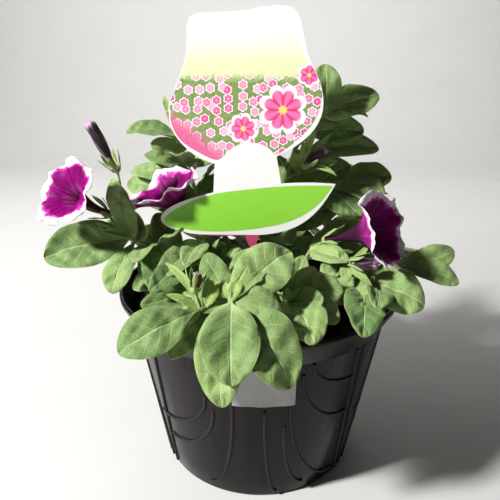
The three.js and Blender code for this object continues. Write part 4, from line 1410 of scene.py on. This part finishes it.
@dataclass(frozen=True)
class Tag:
    """The large plastic plant tag: a card with a waist and a banner, on a narrow stake.

    Its outline and the printed areas are points in millimetres across and up the card.
    """

    plane_y: float = -36.0
    thickness: float = 0.8
    ink: float = 0.04
    stake_x: float = -5.5
    stake_tip: float = 112.0
    stake_half_width: float = 2.2
    shoulder: float = 208.0
    # each curve: its two handles and its end, or only its end for a straight edge
    outline: tuple = (
        ((-12, 218.5),), ((-40, 217), (-74, 219), (-80, 230)), ((-83, 240), (-62, 248), (-37, 254)),
        ((-35.5, 277),), ((-56, 283), (-74, 300), (-69, 322)), ((-60, 345), (-54, 352), (-54, 372)),
        ((-55, 388), (-44, 385), (-26, 386)), ((-8, 386), (0, 391), (18, 390)),
        ((32, 388), (28, 372), (37, 352)), ((56, 322), (50, 300), (13, 283)), ((17, 261.5),),
        ((34, 263), (50, 262.5), (60, 261.5)), ((46, 232), (30, 221), (0, 219)))
    banner: tuple = (
        (-77.3, 232.3), (-62, 243.5), (-38.1, 252.4), (-6.1, 257.1), (26.8, 259.9), (57.2, 260.1),
        (57.7, 260.1), (46.5, 243.9), (27.6, 231.8), (1.8, 224.9), (-37.3, 221.5), (-66, 224.3),
        (-76.2, 228.2))
    picture: tuple = (
        (-33.6, 280.0), (-49.4, 286.6), (-62, 295.6), (-68.2, 308), (-68.4, 322.3), (-62.4, 336),
        (-56, 351.5), (-52.8, 365), (-52.2, 381.0), (-46, 384.2), (-16, 384.8), (8, 388.5), (22, 387.6),
        (25.4, 380), (27.0, 370), (32, 356.6), (40, 346), (45.4, 333.2), (46.0, 323.9), (41.6, 310.8),
        (33, 299.6), (23.2, 291), (11.8, 284.4), (7.5, 288.6), (-0.5, 292.6), (-7.8, 293.4), (-16, 292.2),
        (-23.5, 288.0), (-29.0, 282.6))

    def _edge(self) -> Array:
        """Follows the card's outline.

        Returns:
            Its points, across and up.
        """
        x, half, low = self.stake_x, self.stake_half_width, self.stake_tip + 10
        line = [np.array([x - half, self.shoulder])]
        for *handles, end in self.outline:
            end = np.array(end, float)
            if handles:
                start, (one, two) = line[-1], np.array(handles, float)
                line += [(1 - t) ** 3 * start + 3 * (1 - t) ** 2 * t * one
                         + 3 * (1 - t) * t * t * two + t ** 3 * end for t in np.linspace(0, 1, 15)[1:]]
            else:
                line.append(end)
        stake = (x + half, self.shoulder), (x + half, low), (x, self.stake_tip), (x - half, low)
        return np.array([*line, *stake])

    @staticmethod
    def _round(points: tuple) -> Array:
        """Runs a smooth closed line through points.

        Args:
            points: What the line passes through, across and up.

        Returns:
            Its points.
        """
        around = [(x, z, 0.0) for x, z in points]
        last = len(around) + 2
        shares = np.linspace(1 / last, (last - 1) / last, 8 * len(around), endpoint=False)
        return StemCurve([around[-1], *around, *around[:2]]).point(shares)[:, :2]

    def build(self) -> None:
        """Builds, dresses and settles the card and what is printed on it."""
        front, back = self.plane_y - self.thickness / 2, self.plane_y + self.thickness / 2
        ink = front - self.ink, front + 0.01
        for name, edge, (near, far), finish in (
                ("tag_card", self._edge(), (front, back), CardPlastic()),
                ("tag_banner_print", self._round(self.banner), ink, BANNER_INK),
                ("tag_picture_print", self._round(self.picture), ink, PictureInk())):
            count = len(edge)
            points = [(x * MM, y * MM, z * MM) for y in (near, far) for x, z in edge]
            faces = [tuple(range(count)), tuple(range(2 * count - 1, count - 1, -1))]
            faces += [(i, i + count, (i + 1) % count + count, (i + 1) % count) for i in range(count)]
            slab = closed_piece(raw_mesh(name, points, faces), name, 30)
            settle(slab, "tag_plastic", "plant_tag", finish)


@dataclass(frozen=True)
class Label:
    """The blank paper label on the pot's wall, slightly lifted along its lower edge."""

    pot: Pot
    start: float = -20.0
    end: float = 29.0
    low: float = 103.0
    high: float = 139.0
    gap: float = 0.3
    thickness: float = 0.35

    def build(self) -> None:
        """Builds, dresses and settles the label."""
        share = np.meshgrid(np.linspace(0, 1, 41), np.linspace(0, 1, 25))
        along = self.start + (self.end - self.start) * share[0]
        up = self.low + (self.high - self.low) * share[1]
        lift = 0.35 * np.exp(-(up - self.low) / 3) * (1 + np.sin(along / 3.1))
        lift += 0.06 * np.sin(along * 0.9 + up * 0.5) + self.gap
        faces = []
        for out in (self.thickness, 0.0):
            radius = self.pot.wall_radius(up) + out + lift
            turn = along / radius - ROUND / 4
            faces.append(np.stack([radius * np.cos(turn), radius * np.sin(turn), up], -1))
        mesh = QuadMesh()
        mesh.sheet(*faces, np.stack(share, -1))
        settle(mesh.build("label_sheet", 30), "label_paper", "pot_label", LABEL_PAPER)


# ---- the studio


@dataclass(frozen=True)
class Studio:
    """The camera where the photograph was taken, the lights, and a pale paper sweep."""

    camera_place: tuple = (0.0, -439.0, 341.0)
    lens: float = 36.94
    pitch: float = 18.55
    yaw: float = 1.08
    roll: float = 0.15
    # each light: the way to it from the plant, metres away, metres wide, watts
    lights: tuple = (("key_light", (-0.70, -0.42, 0.58), 1.7, 0.16, 58.0),
                     ("fill_light", (0.7, -0.6, 0.5), 2.0, 1.2, 0.1))
    # the backdrop's: its place, its tilt in degrees, metres wide, watts
    backdrop_light: tuple = ((0.0, 0.9, 2.0), 65.0, 2.5, 46.0)
    sky: float = 0.05
    sky_colour: str = "#F2F5FA"
    floor_half_width: float = 3.0
    floor_back: float = 1.6
    bend: float = 0.8

    def camera(self) -> None:
        """Sets the camera."""
        pitch, yaw, roll = (math.radians(a) for a in (self.pitch, self.yaw, self.roll))
        ahead = Vector((-math.sin(yaw) * math.cos(pitch), math.cos(yaw) * math.cos(pitch), -math.sin(pitch)))
        right = Vector((math.cos(yaw), math.sin(yaw), 0.0))
        up = right.cross(ahead)
        level = right * math.cos(roll) + up * math.sin(roll)
        over = up * math.cos(roll) - right * math.sin(roll)
        data = bpy.data.cameras.new("camera")
        data.lens, data.sensor_width, data.clip_start = self.lens, 36.0, 0.01
        camera = link("camera", data)
        turn = Matrix((level, over, -ahead)).transposed().to_4x4()
        camera.matrix_world = Matrix.Translation(Vector(self.camera_place) * MM) @ turn
        bpy.context.scene.camera = camera

    def lamp(self, name: str, size: float, power: float) -> Piece:
        """Adds a square light.

        Args:
            name: The light's name.
            size: Its side, in metres.
            power: Its power, in watts.

        Returns:
            The light.
        """
        data = bpy.data.lights.new(name, "AREA")
        data.size, data.energy = size, power
        return link(name, data)

    def sweep(self) -> None:
        """Lays the paper: a floor that curves up into a backdrop."""
        back, bend = self.floor_back, self.bend
        curve = [(back + bend * math.sin(t), bend - bend * math.cos(t))
                 for t in np.linspace(0, ROUND / 4, 16)]
        profile = [(-3.0, 0.0), *curve, (back + bend, 3.0)]
        points = [(x, y, z) for y, z in profile for x in (-self.floor_half_width, self.floor_half_width)]
        faces = [(2 * i, 2 * i + 1, 2 * i + 3, 2 * i + 2) for i in range(len(profile) - 1)]
        mesh = raw_mesh("paper_sweep", points, faces)
        for face in mesh.polygons:
            face.use_smooth = True
        mesh.materials.append(STUDIO_PAPER.build())
        link("paper_sweep", mesh)

    def build(self) -> None:
        """Sets up the whole studio."""
        self.camera()
        middle = Vector((0.0, 0.0, 0.2))
        for name, way, distance, size, power in self.lights:
            lamp = self.lamp(name, size, power)
            lamp.location = middle + Vector(way).normalized() * distance
            lamp.rotation_euler = (lamp.location - middle).to_track_quat("Z", "Y").to_euler()
        place, tilt, size, power = self.backdrop_light
        lamp = self.lamp("backdrop_light", size, power)
        lamp.location, lamp.rotation_euler = place, (math.radians(tilt), 0.0, 0.0)
        bpy.context.scene.view_settings.view_transform = "Standard"
        world = bpy.data.worlds.new("studio_air")
        world.use_nodes = True
        air = world.node_tree.nodes["Background"].inputs
        air["Color"].default_value, air["Strength"].default_value = linear(self.sky_colour), self.sky
        bpy.context.scene.world = world
        self.sweep()


# ---- the plant's own layout

SHOOTS = {
    "front": (
        Stem(((-18, -46, 163), (-17, -72, 180), (-17, -100, 190), (-19, -120, 197)), (2.8, 1.9), (
            (0.93, (23, -84, 221), 38, (58, -8), OVAL, 0.06),
            (0.86, (-39, -90, 221), 22, (40, -25), OVAL, 0.05),
            (1, (-17, -156, 154), 41, (62, 0), OVAL, 0.12), (0.96, (21, -149, 148), 42, (58, 14), OVAL, 0.12),
            (0.82, (-24, -152, 135), 38, (60, 0), OVAL, 0.14),
            (0.98, (15, -118, 190), 22, (48, 6), OVAL, 0.08), (1, (-13, -112, 211), 10, (72, 0), OVAL, 0.05),
            (1, (2, -104, 214), 7, (45, 20), NARROW, 0.06), (1, (-7, -104, 218), 5, (60, 0), NARROW, 0.05),
            (1, (-23, -113, 208), 6, (60, -10), NARROW, 0.08),
        ), ruled=Ruled(6, 0.48, 0.84, (48, 36), 0.6, 30, (0.1, 0.3), (0,))),
        Stem(((-17, -72, 180), (-27, -96, 184), (-41, -112, 187)), (1.9, 1.5), (
            (0.96, (-67, -96, 216), 7, (40, -10), NARROW, 0.05),
            (0.98, (-64, -114, 199), 7, (40, -10), NARROW, 0.02),
            (0.98, (-91, -146, 171), 34, (56, -12), SPOON, 0.15),
            (1, (-55, -122, 181), 13, (60, 0), OVAL, 0.1), (0.9, (-31, -97, 205), 12, (70, 0), OVAL, 0.05),
            (0.6, (-60, -133, 160), 26, (55, -10), OVAL, 0.14),
            (0.2, (-56, -98, 170), 28, (48, -8), OVAL, 0.12),
        )),
        Stem(((-41, -112, 187), (-43, -110, 192), (-45, -107, 197)), (1.2, 1.1)),
    ),
    "front_right": (
        Stem(((14, -34, 164), (18, -58, 174), (22, -84, 180)), (2.5, 1.6), (
            (0.99, (47, -98, 189), 24, (55, 0), OVAL, 0.1), (0.98, (37, -132, 171), 34, (52, 10), OVAL, 0.1),
            (0.92, (43, -72, 204), 20, (45, 10), OVAL, 0.08), (0.85, (36, -56, 208), 18, (45, 0), OVAL, 0.08),
            (0.8, (64, -79, 188), 30, (45, 15), SPOON, 0.1), (1, (20, -92, 196), 5, (50, 0), NARROW, 0.12),
            (1, (30, -88, 194), 4, (50, 0), NARROW, 0.12), (0.66, (58, -100, 171), 32, (48, 8), OVAL, 0.14),
        ), ruled=Ruled(6, 0.5, 0.84, (46, 36), 0.6, 15, (0.2, 0.4), (0,))),
    ),
    "right": (
        Stem(((34, -14, 163), (60, -38, 179), (84, -57, 183), (93, -62, 184),
              (104, -54, 192), (118, -44, 199)), (2.8, 1.5), (
            (0.7, (75, -109, 165), 33, (58, 0), OVAL, 0.12),
            (0.72, (126, -80, 176), 38, (50, 12), OVAL, 0.12),
            (0.74, (100, -72, 182), 4, (60, 0), NARROW, 0.05),
            (0.74, (91, -62, 195), 5, (60, 0), NARROW, 0.05),
            (0.98, (160, -36, 207), 23, (48, 0), OVAL, 0.06),
            (0.98, (159, -57, 186), 21, (52, 8), OVAL, 0.06),
            (0.96, (121, -60, 192), 6, (50, 0), NARROW, 0.08),
            (0.86, (140, -10, 196), 28, (-5, 15), OVAL, 0.1),
            (0.62, (112, -8, 184), 30, (0, 15), SPOON, 0.12),
            (0.42, (80, -70, 173), 34, (40, 12), OVAL, 0.16),
            (0.55, (90, -90, 171), 32, (45, 10), OVAL, 0.14), (0.45, (99, -6, 203), 34, (40, 5), OVAL, 0.08),
        ), ruled=Ruled(8, 0.4, 0.82, (50, 38), 0.58, 135, (0.3, 0.5), (0, 2, 3))),
        Stem(((60, -38, 179), (65, -48, 190), (69, -57, 203)), (1.6, 1.2), (
            (0.85, (86, -76, 191), 7, (50, 0), NARROW, 0.12), (0.8, (88, -46, 215), 6, (55, 0), NARROW, 0.05),
            (0.95, (62, -56, 214), 5, (60, 0), NARROW, 0.08), (0.9, (68, -71, 192), 10, (60, 0), OVAL, 0.12),
        )),
        Stem(((42, -21, 169), (38, -26, 188), (44, -28, 204), (52, -28.5, 210)), (1.6, 1.3), (
            (0.8, (69, -63, 206), 21, (48, 6), OVAL, 0.08), (0.62, (95, 0, 228), 34, (50, 0), OVAL, 0.08),
        )),
    ),
    "upper_right": (
        Stem(((12, 14, 163), (18, 16, 210), (24, 15, 255), (34, 12, 290), (54, 10, 313)), (3, 1.6), (
            (1, (53, 17, 352), 26, (62, 0), OVAL, 0.08), (0.98, (97, 0, 327), 34, (44, 10), OVAL, 0.1),
            (0.98, (86, 17, 322), 21, (22, 0), OVAL, 0.08), (0.97, (87, -10, 311), 21, (12, 0), OVAL, 0.08),
            (0.9, (87, 2, 299), 27, (58, 6), OVAL, 0.08), (0.76, (101, 4, 284), 25, (55, 6), SPOON, 0.08),
            (0.92, (58, 52, 318), 28, (-35, 10), OVAL, 0.1), (0.82, (84, 40, 288), 30, (-30, 20), OVAL, 0.1),
            (0.4, (27, -27, 208), 34, (45, 0), OVAL, 0.1), (0.34, (56, -12, 192), 32, (35, 5), OVAL, 0.12),
            (0.46, (72, 2, 238), 33, (50, 5), OVAL, 0.08), (0.6, (60, 34, 279), 34, (50, 5), OVAL, 0.08),
        ), ruled=Ruled(9, 0.34, 0.82, (64, 38), 0.58, 75, (0.2, 0.6), (2, 5))),
        Stem(((22, 15, 240), (47, 18, 247), (71, 16, 251)), (1.6, 1.3), (
            (1, (116, 12, 259), 29, (55, 8), OVAL, 0.08), (0.92, (108, -2, 246), 27, (50, 8), OVAL, 0.1),
            (0.55, (79, 12, 269), 30, (50, 0), OVAL, 0.08), (0.66, (88, -6, 227), 33, (50, 6), OVAL, 0.1),
            (0.75, (92, -9, 240), 4, (50, 0), NARROW, 0.05),
        )),
        Stem(((24, 15, 255), (29, -2, 262), (35, -15, 270)), (1.3, 1.1), (
            (0.9, (46, -10, 301), 8, (60, 0), NARROW, 0.06), (0.85, (62, -27, 266), 7, (35, 0), NARROW, 0.14),
            (0.75, (63, -18, 277), 10, (55, 0), OVAL, 0.08), (0.8, (27, -17, 283), 10, (60, 0), OVAL, 0.08),
            (0.85, (35, -13, 292), 7, (55, 0), NARROW, 0.14), (0.75, (60, -8, 299), 6, (55, 0), NARROW, 0.1),
        )),
    ),
    "upper_left": (
        Stem(((-14, 10, 163), (-34, 17, 205), (-58, 25, 241), (-66, 25, 265),
              (-73, 23, 290), (-82, 24, 312)), (2.8, 1.3), (
            (0.89, (-117, 15, 295), 28, (24, 0), OVAL, 0.12), (0.8, (-95, 12, 287), 23, (60, -6), OVAL, 0.06),
            (0.75, (-104, 25, 275), 17, (40, -6), OVAL, 0.06),
            (0.71, (-119, 31, 258), 22, (40, -6), OVAL, 0.06), (0.78, (-39, 8, 274), 24, (52, 0), OVAL, 0.08),
            (1, (-84, 24, 326), 5, (70, 0), NARROW, 0.05), (0.96, (-65, 18, 316), 17, (50, 10), OVAL, 0.08),
            (0.86, (-62, 58, 300), 28, (-35, 0), OVAL, 0.1),
            (0.7, (-102, 52, 262), 30, (-20, -20), OVAL, 0.12),
            (0.62, (-125, 38, 246), 30, (50, -8), OVAL, 0.08),
            (0.53, (-37, 26, 258), 36, (52, 5), OVAL, 0.08),
            (0.48, (-100, 14, 232), 30, (45, -8), OVAL, 0.08),
        ), ruled=Ruled(8, 0.36, 0.82, (62, 36), 0.58, 165, (0.2, 0.6), (3,))),
    ),
    "left": (
        Stem(((-32, -12, 163), (-62, -26, 192), (-88, -37, 209), (-104, -43, 217)), (2.8, 1.9), (
            (1, (-169, -62, 207), 43, (54, -8), OVAL, -0.03),
            (0.97, (-113, -79, 184), 24, (60, -6), SPOON, 0.08),
            (0.88, (-80, -70, 182), 25, (52, 0), OVAL, 0.1),
            (0.96, (-90, -50, 231), 9, (20, 50), NARROW, 0.16),
            (0.98, (-107, -45, 253), 18, (64, 0), OVAL, 0.06),
            (1, (-128, -53, 233), 8, (50, 0), NARROW, 0.06), (1, (-123, -58, 227), 9, (50, 0), NARROW, 0.06),
            (0.97, (-121, -24, 262), 22, (62, -30), OVAL, 0.06),
            (0.94, (-134, -4, 220), 32, (-5, -20), OVAL, 0.1),
            (0.8, (-106, 6, 200), 32, (-10, -20), OVAL, 0.12),
            (0.52, (-104, -50, 176), 32, (40, -18), OVAL, 0.14),
            (0.62, (-108, -8, 212), 33, (45, -10), OVAL, 0.08),
            (0.68, (-90, -8, 229), 24, (50, 2), OVAL, 0.08),
        ), ruled=Ruled(8, 0.48, 0.86, (50, 38), 0.58, 15, (0.2, 0.5), (0, 2, 3))),
        Stem(((-102, -42, 216), (-111, -36, 236), (-113, -29, 252), (-115, -27.5, 268)), (1.3, 1.1)),
        Stem(((-103, -43, 217), (-112, -40, 223), (-120, -34, 228), (-123.5, -29.5, 231)), (1.3, 1.2)),
    ),
    "middle": (
        Stem(((-30, -26, 163), (-38, -28, 186), (-46, -29, 206), (-50, -28, 214)), (2.6, 1.6), (
            (0.97, (-77, -77, 196), 25, (52, -6), OVAL, 0.08),
            (0.96, (-55, -80, 208), 21, (52, 0), OVAL, 0.08),
            (0.8, (-81, -89, 190), 22, (55, 0), SPOON, 0.08), (0.6, (-88, -91, 179), 22, (55, 0), SPOON, 0.1),
            (0.42, (-74, -88, 172), 30, (45, -5), OVAL, 0.16),
            (0.55, (-18, -24, 206), 30, (45, 5), OVAL, 0.1),
            (0.38, (-88, -80, 170), 30, (40, -10), OVAL, 0.14),
        ), ruled=Ruled(6, 0.5, 0.88, (46, 38), 0.55, 195, (0.3, 0.7), (5,))),
        Stem(((-42, -29, 197), (-50, -21, 206), (-56.5, -14, 215)), (1.4, 1.2)),
    ),
    "centre": (
        Stem(((-3, 6, 163), (-8, 22, 215), (-12, 30, 262), (-14, 30, 296)), (3, 1.5), (
            (0.72, (30, 44, 264), 34, (52, 5), OVAL, 0.08),
        ), ruled=Ruled(10, 0.42, 1, (62, 34), 0.56, 105, (0.2, 1.1), (1, 2, 4))),
    ),
    "back": (
        Stem(((0, 36, 163), (4, 72, 200), (6, 100, 232), (8, 110, 256)), (2.8, 1.4),
             ruled=Ruled(11, 0.34, 1, (72, 36), 0.58, 120, (0.05, 1), (1,))),
    ),
    "back_left": (
        Stem(((-26, 26, 163), (-58, 56, 190), (-88, 82, 210), (-98, 90, 228)), (2.8, 1.4),
             ruled=Ruled(10, 0.36, 1, (72, 36), 0.58, 0, (0.05, 1), (0, 3))),
    ),
    "back_right": (
        Stem(((28, 28, 163), (62, 54, 190), (92, 76, 210), (103, 84, 228)), (2.8, 1.4),
             ruled=Ruled(10, 0.36, 1, (72, 36), 0.58, 0, (0.05, 1), (1,))),
    ),
}

# The shoot that carries each flower, and the flower.
BLOOMS = (
    ("left", Bloom("bloom_left", (-125, -28, 233), (-147, -62, 260), 28, 0.95, 2.2, (0, 2, -1, 3, -1), 21)),
    ("middle", Bloom("bloom_middle", (-57, -14, 217), (-80, -20, 257), 34, 0.35, 2.6, (-4, -3, 7, 2, 5), 22)),
    ("right", Bloom("bloom_right", (54.5, -29, 212.5), (96, -62, 232), 32, 0.55, 2.2, (0, -2, 9, 7, 0), 23)))
BUDS = (
    ("left", Bud("bud_left", (-115.5, -28, 270), (-131, -40, 309), 4.2, 31)),
    ("upper_right", Bud("bud_upper_right", (36.5, -16, 272), (53, -22, 287), 3.4, 32)),
    ("right", Bud("bud_right", (70.5, -58.5, 204), (90, -71, 206), 4.2, 33)),
    ("front", Bud("bud_front", (-45, -107, 199), (-43, -104, 211), 3.2, 34)))
# The flowers of each sort, their calyx's scale, and the first calyx's seed and its step.
CALYX_RULES = ((BLOOMS, 1.0, 900, 1), (BUDS, 0.8, 950, 9))


def main() -> None:
    """Builds the whole part in order."""
    logging.basicConfig(level=logging.INFO, format="%(name)s: %(message)s")
    Studio().build()
    pot = Pot()
    for piece in (pot, Soil(pot), Label(pot), Tag()):
        piece.build()
    for number, (name, stems) in enumerate(SHOOTS.items(), 1):
        calyces = tuple(Calyx(np.array(flower.foot, float), flower.axis(), scale, seed + step * k)
                        for flowers, scale, seed, step in CALYX_RULES
                        for k, (carrier, flower) in enumerate(flowers) if carrier == name)
        LeafyShoot(name, stems, calyces, 1000 * number).build()
    for _, flower in BLOOMS + BUDS:
        flower.build()


if __name__ == "__main__":
    main()
